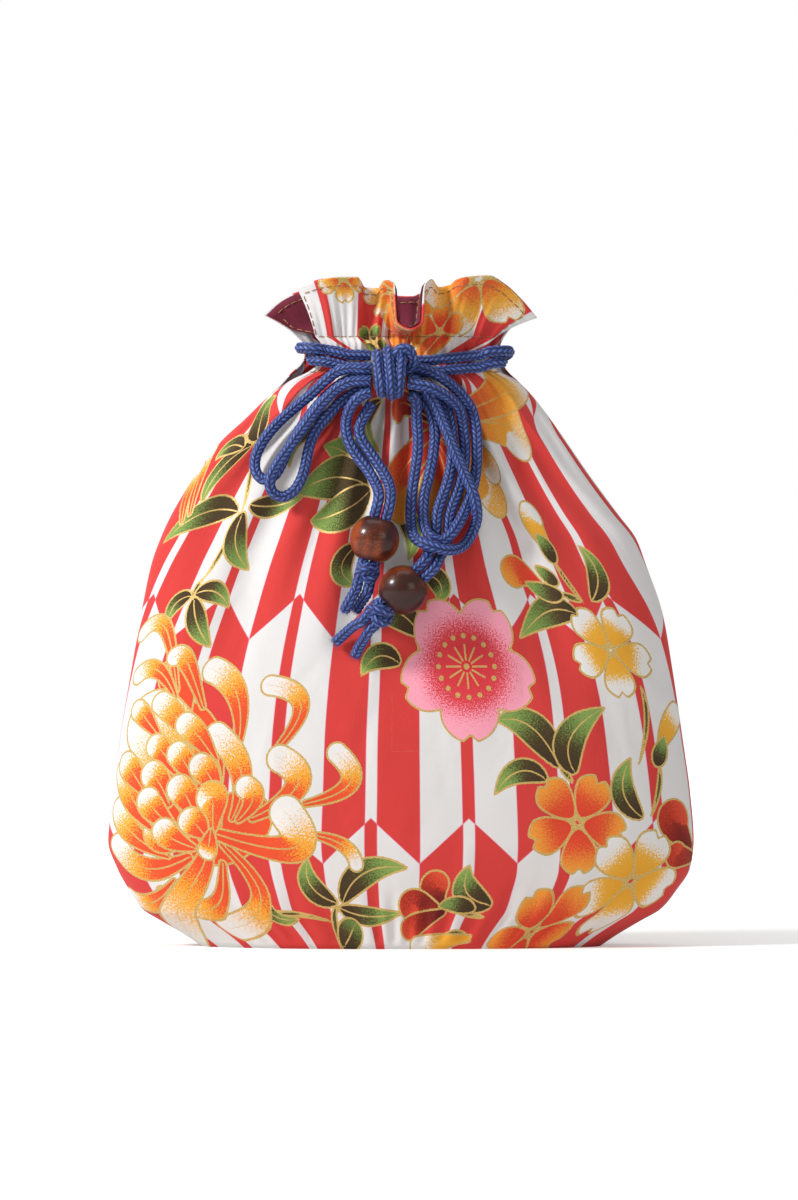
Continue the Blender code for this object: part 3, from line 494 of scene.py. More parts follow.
    def creases(self, side: Side, share: Array, place: Array) -> tuple[Array, Array]:
        """Soft creases that run down from the neck, and how far the cloth is drawn in by them.

        Each crease is a bell across its own slanting line, wider at its foot, and grows and dies
        along its height. The cloth that it hides moves the print along a hyperbolic tangent.

        Args:
            side: which panel.
            share: height shares, as a column.
            place: places across the cloth from -1 to 1, as a row.

        Returns:
            Depths and sideways moves of the print, in metres.
        """
        total = drift = 0 * (share + place)
        for top, foot, high, low, width, depth in side.pick(self.front_creases, self.back_creases):
            climb = np.clip((share - low) / (high - low), 0, 1)
            line = foot + (top - foot) * climb + 0.012 * np.sin(14 * share + 9 * top)
            reach = fade(share, low, low + 0.6 * (high - low)) * (1 - fade(share, high - 0.10, high))
            away = (place - line) / (width * (1.7 - 0.9 * climb))
            deep = self.crease_gain * depth * MM * reach
            total = total + deep * np.exp(-away ** 2)
            drift = drift + self.hidden_share * deep * np.tanh(away)
        return total, drift

    def body(self, side: Side, share: Array, columns: int) -> Array:
        """Points of a panel between its base and the casing's top.

        Across, x is the half-width times the sine of the column's angle. Out, y is the edge plus
        the rest of the depth, less the folds, times the cosine.

        Args:
            side: which panel.
            share: height share of each row.
            columns: number of columns of quads.

        Returns:
            The grid of points, row by row.
        """
        share = np.asarray(share, float)[:, None]
        angle, place = self.cloth_angles(columns)[None], np.linspace(-1, 1, columns + 1)[None]
        left, right, depth, edge = self.section(side, share)
        x = np.where(angle < 0, left, right) * np.sin(angle)
        folds = self.folds(side, share, place) * (1 - place ** 10)
        y = side.value * (self.seam_gap / 2 + edge + (depth - edge - folds) * np.cos(angle))
        return np.stack([x, y, share * self.body_height + 0 * x], 2)

    def header(self, side: Side, root: Array, lift: Array) -> Array:
        """Points of the flared header: a quadratic bow from the casing to its wavy rim.

        Args:
            side: which panel.
            root: points of the casing's top row.
            lift: share of the bow for each row.

        Returns:
            The grid of points, row by row.
        """
        place = np.linspace(-1, 1, root.shape[0])
        keys = np.array(side.pick(self.front_rim_shares, self.back_rim_shares))
        across, out, up = (smooth(place, keys[:, 0], keys[:, k]) for k in range(1, 4))
        rim = np.stack([across * self.header_half_width, side.value * out * self.header_reach,
                        self.body_height + up * self.header_height], 1)
        turn = root + (rim - root) * np.array(self.rim_turn_shares)
        lift = np.asarray(lift)[:, None, None]
        return root * (1 - lift) ** 2 + turn * 2 * lift * (1 - lift) + rim * lift ** 2

    def outer(self, side: Side, rows: int, columns: int, top: float = 1.0) -> tuple[Array, Array]:
        """Outside face of a panel with its cloth coordinates.

        Rows run from the seam under the base, out over the flat base, up the body and out to the
        rim. The cloth coordinates are millimetres across the cloth and up along it. In the header
        half of the width is hidden in the gathers, so the print there keeps its size, and below it
        the creases move the print sideways by the cloth that they hide.

        Args:
            side: which panel.
            rows: number of rows of quads.
            columns: number of columns of quads.
            top: share of the header that the last row gets to.

        Returns:
            The grid of points, and the grid of across, up and lift above the casing.
        """
        up = np.linspace(-self.base_fold, self.body_height + self.header_rise, rows + 1)
        base, shaft = up[up < -1e-9], up[(up >= -1e-9) & (up <= self.body_height)]
        shaft[0], shaft[-1] = 0.0, self.body_height
        crown = up[up > self.body_height]
        body = self.body(side, shaft / self.body_height, columns)
        reach = (1 + base / self.base_fold)[:, None]
        under = np.repeat(body[:1], len(base), 0)
        seam = side.value * self.seam_gap / 2
        under[:, :, 1] = seam + (under[:, :, 1] - seam) * reach
        head = self.header(side, body[-1], (crown - self.body_height) / self.header_rise * top)
        across = np.linspace(-1, 1, columns + 1) * self.cloth_half_width
        heights = np.concatenate([base, shaft, crown])
        gathered = fade(heights, self.gathers_from_share * self.body_height, self.body_height)
        drawn = 1 - (1 - self.header_print_share) * gathered
        share = np.clip(heights / self.body_height, 0, 1)[:, None]
        drift = self.creases(side, share, across[None] / self.cloth_half_width)[1]
        lift = np.clip(heights[:, None] - self.body_height, 0, 1) / MM
        cloth = np.stack(np.broadcast_arrays((across[None] * drawn[:, None] + drift) / MM,
                                             heights[:, None] / MM, lift), 2)
        return np.concatenate([under, body, head]), cloth

    def inward(self, grid: Array, side: Side, heights: Array) -> Array:
        """Unit directions into the pouch, from the cross product of the grid's two tangents.

        Args:
            grid: points of a panel's outside face.
            side: which panel.
            heights: millimetres up along the cloth for each row.

        Returns:
            A direction for each point; at the side seams it runs straight across.
        """
        normal = side.value * np.cross(np.gradient(grid, axis=1), np.gradient(grid, axis=0))
        shut = heights <= self.slit_foot_share * self.body_height / MM
        for column, way in ((0, 1), (-1, -1)):
            normal[shut, column] = (way, 0, 0)
            normal[:2, column] = (way, 0, 1)
        return unit(normal)

    def lining(self, side: Side, rows: int, columns: int) -> tuple[Array, Array]:
        """Outside face of a lining with its cloth coordinates.

        It is nested in its outer panel, ends short of the rim, and is drawn in behind the cords.

        Args:
            side: which panel.
            rows: number of rows of quads.
            columns: number of columns of quads.

        Returns:
            The grid of points, and the outer panel's grid of across, up and lift.
        """
        outer, cloth = self.outer(side, rows, columns, self.lining_top_share)
        heights = cloth[:, 0, 1]
        inward = self.inward(outer, side, heights)
        nested = outer + inward * (self.cloth_thickness + self.layer_gap)
        share = heights / 1000 / self.body_height
        freed = 1 + self.lining_freed_lift * self.header_rise / self.body_height
        drawn = (fade(share, *self.lining_drawn_shares)
                 * (1 - fade(share, self.lining_freed_share, freed)))
        angle = self.cloth_angles(columns)
        ends = [CordRoutes(self).turn_place(hand) + self.lining_cord_room * CordSizes().pitch
                for hand in Hand]
        x = np.where(angle < 0, ends[0], ends[1]) * np.sin(angle)
        y = side.value * (self.casing_half_opening + self.casing_bulge * np.cos(angle))
        behind = np.stack(np.broadcast_arrays(x[None], y[None], outer[:, :, 2]), 2)
        weight = drawn[:, None, None]
        return nested * (1 - weight) + behind * weight, cloth

    def front_depth(self, x: float, z: float) -> float:
        """Depth of the front panel's crests.

        Args:
            x: metres across.
            z: metres up.

        Returns:
            Metres out from the middle plane.
        """
        left, right, depth, edge = (float(v) for v in self.section(Side.FRONT, z / self.body_height))
        reach = min(abs(x) / (left if x < 0 else right), 1)
        return self.cad_seam_gap / 2 + edge + (depth - edge) * math.sqrt(1 - reach * reach)

    def cloth_place(self, px: float, py: float) -> tuple[float, float]:
        """Cloth millimetres of a place seen at a pixel of the photograph.

        Pixels become metres across and up, and the angle about the belly is the arcsine of the
        place over the half-width there, read back as a length along the cloth, with the cloth that
        the creases hide.

        Args:
            px: pixel across.
            py: pixel down.

        Returns:
            Millimetres across the cloth and up along it.
        """
        x = (px - self.photo_middle) * self.photo_scale * MM
        z = (self.photo_floor - py) * self.photo_scale * MM
        share = min(max(z / self.body_height, 0), 1)
        left, right, _, _ = (float(v) for v in self.section(Side.FRONT, share))
        angle = math.asin(max(-1.0, min(1.0, x / (left if x < 0 else right))))
        angles = self.cloth_angles(400)
        across = float(np.interp(angle, angles, np.linspace(-1, 1, 401)))
        drift = float(self.creases(Side.FRONT, share, across)[1])
        return (across * self.cloth_half_width + drift) / MM, z / MM


@dataclass(frozen=True)
class CordSizes:
    """Sizes of the cords, beads and knots, as in the CAD part."""

    diameter: float = 0.0038
    gap: float = 0.0002
    lay_gap: float = 0.0004
    bead_diameter: float = 0.0176
    bead_length: float = 0.0152
    left_knot_radius: float = 0.0048
    right_knot_radius: float = 0.0057
    end_knot_length: float = 0.0080
    bow_knot_width: float = 0.0121
    bow_knot_offset: float = -0.00405
    bow_knot_height_share: float = 0.9376
    casing_run: float = 0.0073
    bore_radius: float = 0.0043
    piece_gap: float = 0.0003

    @property
    def pitch(self) -> float:
        """Distance between two cords that lie side by side."""
        return self.diameter + self.gap

    @property
    def lay(self) -> float:
        """Height of a cord's centre above the cloth that it lies on."""
        return self.diameter / 2 + self.lay_gap


Route = tuple[tuple[Any, ...], ...]


@dataclass(frozen=True)
class CordRoutes:
    """Routes of both cords in cord pitches, repeated from the CAD part.

    A lay point gives across and up from the bow knot and the rise above the cloth. A slit point
    gives outward from the casing's turn, depth, and up from the casing's middle.
    """

    form: PouchForm
    sizes: CordSizes = CordSizes()
    left_neck_upper: Route = (((-1.66, 1.67, 0.05), (-2.59, 1.75, 0.05), (-3.58, 1.77, 0),
        (-4.75, 2.06, 0), (-5.83, 2.24, 0.1)), ((2.15, -3.58, 0.49), (2.98, -3.1, 0.56),
        (3.48, -2.15, 0.59), (3.33, -1.05, 0.56), (2.58, -0.05, 0.56), (1.62, 0.88, 0.56),
        (0.78, 1.37, 0.56)))
    left_neck_lower: Route = (((-1.66, 0.62, 0.05), (-2.59, 0.63, 0.05), (-3.58, 0.62, 0),
        (-4.75, 0.91, 0), (-5.74, 1.14, 0.15)), ((1.85, -3.27, -0.61), (2.4, -2.8, -0.54),
        (2.5, -2.2, -0.21), (2.15, -1.75, 0.16), (1.52, -1.57, 0.49), (0.74, -1.65, 0.56)))
    right_neck_upper: Route = (((1.66, 1.32, 0.05), (2.54, 1.22, 0.05), (3.62, 1.25, 0),
        (5.24, 1.44, 0), (6.86, 1.62, 0), (8.12, 1.75, 0.1)), ((2.33, -3.75, 0.18),
        (3.35, -3.45, 0.28), (4.1, -2.5, 0.28), (4.1, -1.35, 0.08), (3.42, -0.3, -0.22),
        (2.45, 0.45, -0.46), (1.62, 0.92, -0.56), (0.78, 1.37, -0.56)))
    right_neck_lower: Route = (((1.66, 0.25, 0.05), (2.54, 0.17, 0.05), (3.62, 0.18, 0),
        (5.24, 0.37, 0), (6.86, 0.55, 0), (8.12, 0.65, 0.1)), ((2.33, -3.62, -0.94),
        (3.1, -3.3, -0.78), (3.55, -2.6, -0.72), (3.32, -1.85, -0.68), (2.5, -1.45, -0.6),
        (1.58, -1.5, -0.56), (0.74, -1.65, -0.56)))
    casing_start: Route = ((-0.55, -1.83),)
    casing_end: Route = ((-0.75, 1.83), (0.05, 1.70))
    left_outer_loop: Route = ((-1.66, 0.38, 1.15), (-2.41, 0.38, 1.3), (-3.58, 0.47, 1.25),
        (-4.79, 0.14, 1.1), (-5.83, -0.67, 0.85), (-6.95, -1.71, 0.3), (-8.26, -2.79, 0),
        (-9.52, -3.87, 0), (-10.64, -5.04, 0), (-11.5, -6.25, 0), (-12.04, -7.55, 0),
        (-11.99, -8.73, 0), (-11.32, -9.45, 0), (-10.42, -9.18, 0), (-9.72, -8.14, 0),
        (-9.11, -6.79, 0), (-8.3, -5.35, 0), (-7.4, -4, 0), (-6.37, -2.7, 0),
        (-5.24, -1.53, 0), (-3.98, -0.67, 0), (-2.77, -0.37, 0), (-1.66, -0.43, 0.05))
    left_inner_loop: Route = ((-1.66, -0.68, 1.15), (-2.41, -0.66, 1.2), (-3.58, -0.76, 1.15),
        (-4.66, -1.3, 1.12), (-5.65, -2.2, 1.1), (-6.59, -3.28, 1.07), (-7.49, -4.5, 1.07),
        (-8.39, -5.76, 1.07), (-9.29, -7.02, 1.07), (-10.1, -8.19, 1.1), (-10.69, -9.4, 1.05),
        (-10.51, -10.53, 0.6), (-9.65, -11.02, 0.12), (-8.66, -10.57, 0), (-7.94, -9.49, 0),
        (-7.54, -8.19, 0), (-7.27, -6.84, 0), (-6.86, -5.58, 0), (-6.14, -4.41, 0),
        (-5.24, -3.37, 0), (-4.21, -2.38, 0), (-2.99, -1.62, 0), (-1.66, -1.48, 0.05))
    right_inner_loop: Route = ((1.66, 0.67, 1.15), (2.54, 0.54, 1.2), (3.53, 0.23, 1.18),
        (4.52, -0.27, 1.05), (5.51, -0.99, 0.65), (6.46, -1.89, 0.2), (7.25, -3.01, 0),
        (7.65, -4.32, 0), (7.79, -5.67, 0), (7.81, -7.02, 0), (7.76, -8.37, 0),
        (7.58, -9.67, 0), (7.22, -10.93, 0), (6.77, -12.15, 0.15), (6.21, -13.32, 0.7),
        (5.51, -14.33, 1.18), (4.66, -14.95, 1.35), (3.78, -14.72, 1.4), (3.22, -13.99, 0.75),
        (3.02, -13, 0.1), (3.02, -11.79, 0), (3.17, -10.53, 0), (3.49, -9.27, 0),
        (3.76, -8.01, 0), (3.96, -6.75, 0), (4.05, -5.49, 0), (3.93, -4.27, 0),
        (3.58, -3.19, 0), (2.99, -2.38, 0), (2.32, -1.98, 0), (1.66, -1.83, 0.05))
    right_outer_loop: Route = ((1.86, -1.96, 1.3), (2.24, -2.22, 1.18), (2.4, -3, 0.8),
        (2.4, -3.85, 0.22), (2.46, -4.75, 0), (2.54, -5.76, 0), (2.5, -6.93, 0),
        (2.36, -8.14, 0), (2.18, -9.36, 0), (2, -10.62, 0), (1.89, -11.88, 0),
        (1.88, -13.05, 0), (1.97, -13.99, 0.5), (2.27, -14.71, 1.35), (2.99, -15.22, 2.15),
        (4.03, -15.58, 2.3), (5.06, -15.8, 1.85), (6.05, -15.7, 0.9), (6.82, -15.16, 0.15),
        (7.38, -14.26, 0), (7.76, -13.14, 0.1), (7.76, -11.97, 0.98), (7.49, -10.8, 1.22),
        (7.02, -9.67, 1.12), (6.52, -8.55, 1.1), (6.03, -7.42, 1.07), (5.56, -6.3, 1.07),
        (5.11, -5.17, 1.05), (4.66, -4.09, 0.97), (4.25, -3.1, 0.97), (3.76, -2.2, 1.07),
        (3.13, -1.35, 1.1), (2.4, -0.66, 1.1), (1.7, -0.42, 1.12))
    left_pendant_a: Route = ((-1.66, -1.73, 1.15), (-2.32, -1.89, 1.15), (-3.04, -2.38, 1),
        (-3.58, -3.19, 0.6), (-3.89, -4.18, 0.05), (-3.87, -5.26, 0), (-3.51, -6.38, 0),
        (-2.84, -7.47, 0), (-2.07, -8.46, 0.15), (-1.46, -9.45, 0.55), (-1.03, -10.44, 1.15))
    left_pendant_b: Route = ((-1.62, -2.6, 0.05), (-1.92, -3.15, 0), (-2.25, -3.72, 0),
        (-2.56, -4.38, 0), (-2.72, -5.08, 0), (-2.46, -5.97, 0), (-1.81, -6.96, 0),
        (-1.11, -7.99, 0.15), (-0.46, -9, 0.55), (0, -10.12, 1.15))
    right_pendant_a: Route = ((1.66, -0.83, 2.2), (2.36, -1.03, 2.23), (3.44, -1.21, 2.2),
        (4.48, -1.66, 1.85), (5.49, -2.33, 1.25), (6.27, -3.25, 0.5), (6.52, -4.45, 0),
        (6.66, -5.67, 0), (6.73, -6.88, 0), (6.66, -8.1, 0), (6.44, -9.36, 0),
        (6.1, -10.53, 0), (5.67, -11.61, 0), (5.36, -12.64, 0), (5.27, -13.68, 0),
        (5.21, -14.71, 0), (4.92, -15.66, 0.17), (4.49, -16.37, 0.72))
    right_pendant_b: Route = ((1.66, -0.77, 0.05), (2.45, -0.88, 0), (3.44, -1.18, 0),
        (4.39, -1.84, 0), (5.01, -2.79, 0), (5.34, -3.91, 0), (5.54, -5.12, 0),
        (5.6, -6.34, 0), (5.58, -7.55, 0), (5.4, -8.82, 0), (5.09, -10.03, 0),
        (4.66, -11.2, 0), (4.3, -12.33, 0), (4.19, -13.41, 0), (4.13, -14.3, 0),
        (3.89, -15.16, 0.12), (3.55, -15.76, 0.6))
    left_tail_a: Route = ((-3.26, -19.8, 1.4), (-3.62, -20.43, 1.17), (-3.98, -21.15, 0.5))
    left_tail_b: Route = ((-2.27, -20.07, 0.8), (-2.68, -20.65, 0.2), (-3.04, -21.24, 0))
    right_tail_a: Route = ((-3.22, -22.59, 0.8), (-3.85, -23.13, 0.25), (-4.39, -23.62, 0.03),
        (-4.84, -24.03, 0))
    right_tail_b: Route = ((-2.18, -23.58, 0.75), (-2.54, -24.16, 0.25), (-2.86, -24.75, 0.03),
        (-3.08, -25.29, 0))
    left_inset: float = 1.63
    right_inset: float = 2.43
    ring_height: float = 0.56
    tail_lead: float = 0.60
    strand_offset: float = 0.525
    left_lead: float = 1.65
    right_lead: float = 1.45
    left_bead: Span = (-1.33, -14.85)
    right_bead: Span = (0.573, -1.023)
    left_tilt: float = math.radians(14.0)
    right_tilt: float = math.radians(46.0)
    knot_standoff: float = 2.12

    def turn_place(self, hand: Hand) -> float:
        """Distance from the middle to the centre of the casing cords' turn on one side."""
        left, right, _, _ = self.form.section(Side.FRONT, self.form.casing_middle_share)
        return float(hand.pick(left - self.left_inset * self.sizes.pitch,
                               right - self.right_inset * self.sizes.pitch))

    def lay_point(self, across: float, up: float, rise: float) -> Array:
        """A cord point on the front panel, or on strands that lie on it.

        Args:
            across: cord pitches to the right of the bow knot.
            up: cord pitches above it.
            rise: cord pitches above the cloth.

        Returns:
            The point.
        """
        x = self.sizes.bow_knot_offset + across * self.sizes.pitch
        z = self.sizes.bow_knot_height_share * self.form.body_height + up * self.sizes.pitch
        depth = self.form.front_depth(x, z) + self.sizes.lay + rise * self.sizes.pitch
        return np.array([x, -depth, z])

    def slit_point(self, hand: Hand, out: float, depth: float, up: float) -> Array:
        """A cord point in the side slit or at a mouth of the casing.

        Args:
            hand: which side.
            out: cord pitches outward from the casing's turn.
            depth: cord pitches back from the middle plane.
            up: cord pitches above the casing's middle.

        Returns:
            The point.
        """
        level = self.form.casing_middle_share * self.form.body_height
        return np.array([hand.value * (self.turn_place(hand) + out * self.sizes.pitch),
                         depth * self.sizes.pitch, level + up * self.sizes.pitch])

    def bead_centre(self, hand: Hand) -> Array:
        """Centre of a bead, which rests on the front panel.

        Args:
            hand: which bead.

        Returns:
            The point.
        """
        sizes = self.sizes
        x = sizes.bow_knot_offset + self.left_bead[0] * sizes.pitch
        z = sizes.bow_knot_height_share * self.form.body_height + self.left_bead[1] * sizes.pitch
        if hand is Hand.RIGHT:
            x += self.right_bead[0] * sizes.bead_diameter
            z += self.right_bead[1] * sizes.bead_diameter
        depth = self.form.front_depth(x, z) + sizes.bead_diameter / 2 + sizes.lay_gap
        return np.array([x, -depth, z])

    def bead_axes(self, hand: Hand) -> tuple[Array, Array]:
        """Directions of a bead.

        Args:
            hand: which bead.

        Returns:
            Unit directions up along the bore and across it.
        """
        tilt = hand.pick(self.left_tilt, self.right_tilt)
        return (np.array([math.sin(tilt), 0, math.cos(tilt)]),
                np.array([math.cos(tilt), 0, -math.sin(tilt)]))

    def knot_centre(self) -> Array:
        """Centre of the bow knot, in front of the gathered neck.

        Returns:
            The point.
        """
        x = self.sizes.bow_knot_offset
        z = self.sizes.bow_knot_height_share * self.form.body_height
        depth = self.form.front_depth(x, z) + self.knot_standoff * self.sizes.pitch
        return np.array([x, -depth, z])

    def ring(self, hand: Hand) -> list[Array]:
        """Points of one cord from the bow knot, right round the neck in the casing, and back.

        In the casing it runs close to the middle plane, and turns on the far side along half an
        oval.

        Args:
            hand: which cord.

        Returns:
            The points in order.
        """
        lower = hand.pick(self.left_neck_lower, self.right_neck_lower)
        upper = hand.pick(self.left_neck_upper, self.right_neck_upper)
        way, pitch, run = hand.value, self.sizes.pitch, self.sizes.casing_run
        level = self.form.casing_middle_share * self.form.body_height
        level -= way * self.ring_height * pitch
        near, far = way * self.turn_place(hand), -way * self.turn_place(Hand(-way))
        start, end = ([np.array([near + way * out * pitch, depth * pitch, level])
                       for out, depth in places] for places in (self.casing_start, self.casing_end))
        turn = [np.array([far - way * run * math.cos(a), run * math.sin(a), level])
                for a in np.radians(np.linspace(-90, 90, 7))]
        go, back = (self.loop(front) + [self.slit_point(hand, *place) for place in slit]
                    for front, slit in (lower, upper))
        return go + start + turn + end + back[::-1]

    def loop(self, route: Route) -> list[Array]:
        """Points of a route on the front, such as a loop of the bow from the knot and back."""
        return [self.lay_point(*place) for place in route]

    def pendant(self, hand: Hand, route: Route, tail: Route, offset: float) -> list[Array]:
        """Points of a strand from the bow knot through its bead and end knot to its cut end.

        Args:
            hand: which bead it goes through.
            route: places from the bow knot to the bead.
            tail: places from the end knot to the cut end.
            offset: cord pitches from the bead's axis.

        Returns:
            The points in order.
        """
        sizes = self.sizes
        up, across = self.bead_axes(hand)
        lead = hand.pick(self.left_lead, self.right_lead)
        middle = self.bead_centre(hand) + across * offset * sizes.pitch
        top = sizes.bead_length / 2 + lead * sizes.pitch
        drop = sizes.bead_length / 2 + sizes.end_knot_length + 2 * sizes.piece_gap
        bore = [middle + up * height for height in np.linspace(top, -sizes.bead_length / 2, 4)]
        foot = [middle - up * drop, middle - up * (drop + self.tail_lead * sizes.pitch)]
        return self.loop(route) + bore + foot + self.loop(tail)


def smooth_route(points: Sequence[Array], step: float) -> Array:
    """Centripetal curve through points, read at even steps.

    Each stretch is the cubic between two points whose end slopes come from the square roots of
    the chord lengths around them. Its length is summed over short chords and read back evenly.

    Args:
        points: places that the curve passes.
        step: distance between the points that come back, in metres.

    Returns:
        The places along the curve, ends included.
    """
    p = np.array(points, float)
    p = np.vstack([2 * p[0] - p[1], p, 2 * p[-1] - p[-2]])
    a, b, c, d = (p[k:len(p) - 3 + k, None, :] for k in range(4))
    t1, t2, t3 = (np.sqrt(np.linalg.norm(v, axis=2, keepdims=True)) for v in (b - a, c - b, d - c))
    start = ((b - a) / t1 - (c - a) / (t1 + t2) + (c - b) / t2) * t2
    end = ((c - b) / t2 - (d - b) / (t2 + t3) + (d - c) / t3) * t2
    s = np.linspace(0, 1, 32, endpoint=False)[None, :, None]
    line = b + (c - b) * s * s * (3 - 2 * s) + start * s * (1 - s) ** 2 - end * s * s * (1 - s)
    line = np.vstack([line.reshape(-1, 3), p[-2][None]])
    length = lengths(line)
    even = np.linspace(0, length[-1], max(8, int(round(length[-1] / step))) + 1)
    return read_line(even, length, line)


def even_line(line: Array, step: float) -> Array:
    """Reads a closed line at even steps.

    Args:
        line: points, the last of which repeats the first.
        step: distance between the points that come back, in metres.

    Returns:
        The places along the line, without the last one.
    """
    length = lengths(line)
    even = np.linspace(0, length[-1], int(round(length[-1] / step)), endpoint=False)
    return read_line(even, length, line)


def path_length(path: Array) -> float:
    """Length of a line of points."""
    return float(np.linalg.norm(np.diff(path, axis=0), axis=1).sum())


@dataclass(frozen=True)
class Braid:
    """Tubular cord braid of six strands each way, each over two and under two.

    The floats stand in six lengthwise columns that lean left and right in turn, which gives the
    rows of V-shaped grains of the real cord.
    """

    diameter: float = 0.0038
    strands: int = 6
    grain: float = 0.0019
    relief: float = 0.00062
    crown_share: float = 0.20
    float_power: float = 0.26
    cut_height: float = 0.3
    sides: int = 48
    step: float = 0.00023

    def height(self, turn: Array, along: Array, grain: float) -> Array:
        """Height of the grains from nought in the grooves to one on the crowns.

        The share of a turn times the strands gives the column, whose parity gives the lean. The
        strand's phase is the turn plus or minus the length over the grain, with every second
        column half a grain on, and across the strand the height is a half-circle. Along the float
        it is a small power of a sine over the column.

        Args:
            turn: shares of a turn about the cord.
            along: lengths along the cord in metres.
            grain: distance between grains of a column in metres.

        Returns:
            The heights.
        """
        column = np.floor(turn * self.strands)
        within = turn * self.strands - column
        lean = np.where(column % 2 == 0, 1.0, -1.0)
        phase = within + lean * along / grain + np.where(column % 2 == 0, 0.0, 0.5)
        across = 2 * (phase - np.floor(phase)) - 1
        bow = np.sin(math.pi * np.clip(within, 0, 1)) ** self.float_power
        return np.sqrt(np.clip(1 - across ** 2, 0, 1)) * bow

    def tube(self, name: str, path: Array, reference: Point, finish: Finish,
             closed: bool = False) -> Piece:
        """Braided tube along a path.

        The section's first direction is the reference less its share along the path, the second
        is the tangent's cross product with it. The radius is half the diameter plus a fifth of the
        relief, less the relief in the grooves. A closed path takes a whole number of grains.

        Args:
            name: piece name.
            path: even points of the centreline; a closed path doesn't repeat its first point.
            reference: direction that is never along the path.
            finish: material of the cord.
            closed: joins the last ring to the first.

        Returns:
            The piece, with its braid height, turn and length kept for the material.
        """
        count = len(path)
        if closed:
            tangent = unit(np.roll(path, -1, 0) - np.roll(path, 1, 0))
            chords = np.linalg.norm(np.roll(path, -1, 0) - path, axis=1)
            along = np.concatenate(([0], np.cumsum(chords)[:-1]))
            grain = chords.sum() / round(chords.sum() / self.grain)
        else:
            tangent = unit(np.gradient(path, axis=0))
            along = lengths(path)
            grain = self.grain
        ref = np.asarray(reference, float)
        out = unit(ref - tangent * (tangent @ ref)[:, None])
        across = np.cross(tangent, out)
        turn = np.arange(self.sides)[None] / self.sides
        height = self.height(turn, along[:, None], grain)
        radius = self.diameter / 2 + (self.crown_share - 1 + height) * self.relief
        angle = 2 * math.pi * turn
        points = (path[:, None] + radius[..., None] * (out[:, None] * np.cos(angle)[..., None]
                                                       + across[:, None] * np.sin(angle)[..., None]))
        verts, groups = points.reshape(-1, 3), [ring_faces(count, self.sides, closed)]
        braid = np.stack(np.broadcast_arrays(height, turn, along[:, None] / MM), 2).reshape(-1, 3)
        if not closed:
            first, last = len(verts), len(verts) + 1
            verts = np.vstack([verts, path[[0, -1]]])
            k = np.arange(self.sides)
            over, base = (k + 1) % self.sides, (count - 1) * self.sides
            groups.append(np.stack([np.full_like(k, first), over, k], 1))
            groups.append(np.stack([np.full_like(k, last), base + k, base + over], 1))
            braid = np.vstack([braid, [[self.cut_height, 0, 0]] * 2])
        piece = new_piece(name, verts, groups, finish)
        store(piece, "braid", braid)
        return piece


def bundle(name: str, lines: Array, way: Array, radius: Array, sides: int, finish: Finish) -> Piece:
    """Many short closed tubes as one piece.

    A ring's first direction is the way less its share along the line, and the second is the cross
    product of the tangent with it.

    Args:
        name: piece name.
        lines: centres, as tube, ring and x, y, z.
        way: direction for each ring that isn't along its line.
        radius: radius of each ring of a tube.
        sides: corners of a ring.
        finish: material.

    Returns:
        The piece.
    """
    tangent = unit(np.gradient(lines, axis=1))
    out = unit(way - tangent * (way * tangent).sum(2, keepdims=True))
    angle = (2 * math.pi * np.arange(sides) / sides)[:, None]
    ring = out[:, :, None] * np.cos(angle) + np.cross(tangent, out)[:, :, None] * np.sin(angle)
    points = lines[:, :, None] + radius[None, :, None, None] * ring
    tubes, rings = lines.shape[:2]
    first = (np.arange(tubes) * rings * sides)[:, None]
    quads = (ring_faces(rings, sides) + first[..., None]).reshape(-1, 4)
    caps = np.concatenate([first + np.arange(sides)[::-1],
                           first + (rings - 1) * sides + np.arange(sides)])
    return new_piece(name, points.reshape(-1, 3), [quads, caps], finish)


@dataclass(frozen=True)
class BraidedPolyester:
    """Dyed polyester braid: a fine silky cord, with shade painted dark into its grooves and a highlight
    painted pale onto its crowns.
    """

    # groove is painted shade and crown is a painted highlight; flank is the cord's own dyed blue
    groove_shade: str = "#131A46"
    flank: str = "#284290"
    crown: str = "#5C7EC6"
    fibre: float = 0.00016
    fibre_lines: float = 9.4

    def material(self, name: str) -> Finish:
        """Material that reads the braid's height as painted shade in the grooves and a painted highlight
        on the crowns, with fibres that run along each float.

        Args:
            name: material name.

        Returns:
            The new material.
        """
        made, tree, shader = new_material(name)
        maths = partial(calc, tree, "Math")
        braid = add_node(tree, "Attribute", attribute_name="braid")
        parts = add_node(tree, "SeparateXYZ", {0: braid.outputs["Vector"]})
        place = add_node(tree, "TexCoord").outputs["Object"]
        grain = add_node(tree, "TexNoise", {"Vector": place, "Scale": 1 / self.fibre / 6,
                                            "Detail": 2.0}).outputs["Fac"]
        # Braid height with a little fibre noise: low in the grooves gives painted shade, high on the
        # crowns a painted highlight
        grainy_relief_shade = maths("ADD", maths("MULTIPLY_ADD", grain, 0.5, parts.outputs["X"]), -0.28)
        ramp = add_node(tree, "ValToRGB", {"Fac": grainy_relief_shade})
        # Stops: painted shade in the grooves, the cord's own blue on the flanks, a painted highlight on
        # the crowns
        set_stops(ramp.color_ramp, ((0.30, self.groove_shade), (0.80, self.flank), (1.0, self.crown)))
        wave = maths("SINE", maths("MULTIPLY", parts.outputs["Y"], self.fibre_lines))
        bump = add_node(tree, "Bump", {"Height": maths("MULTIPLY_ADD", grain, 1.2, wave),
                                       "Strength": 0.30, "Distance": 0.00008})
        feed(tree, shader, {
            "Base Color": ramp.outputs["Color"], "Normal": bump.outputs["Normal"],
            "Roughness": 0.52, "Specular IOR Level": 0.45, "Sheen Weight": 0.25,
            "Sheen Roughness": 0.4, "IOR": 1.57})
        return made


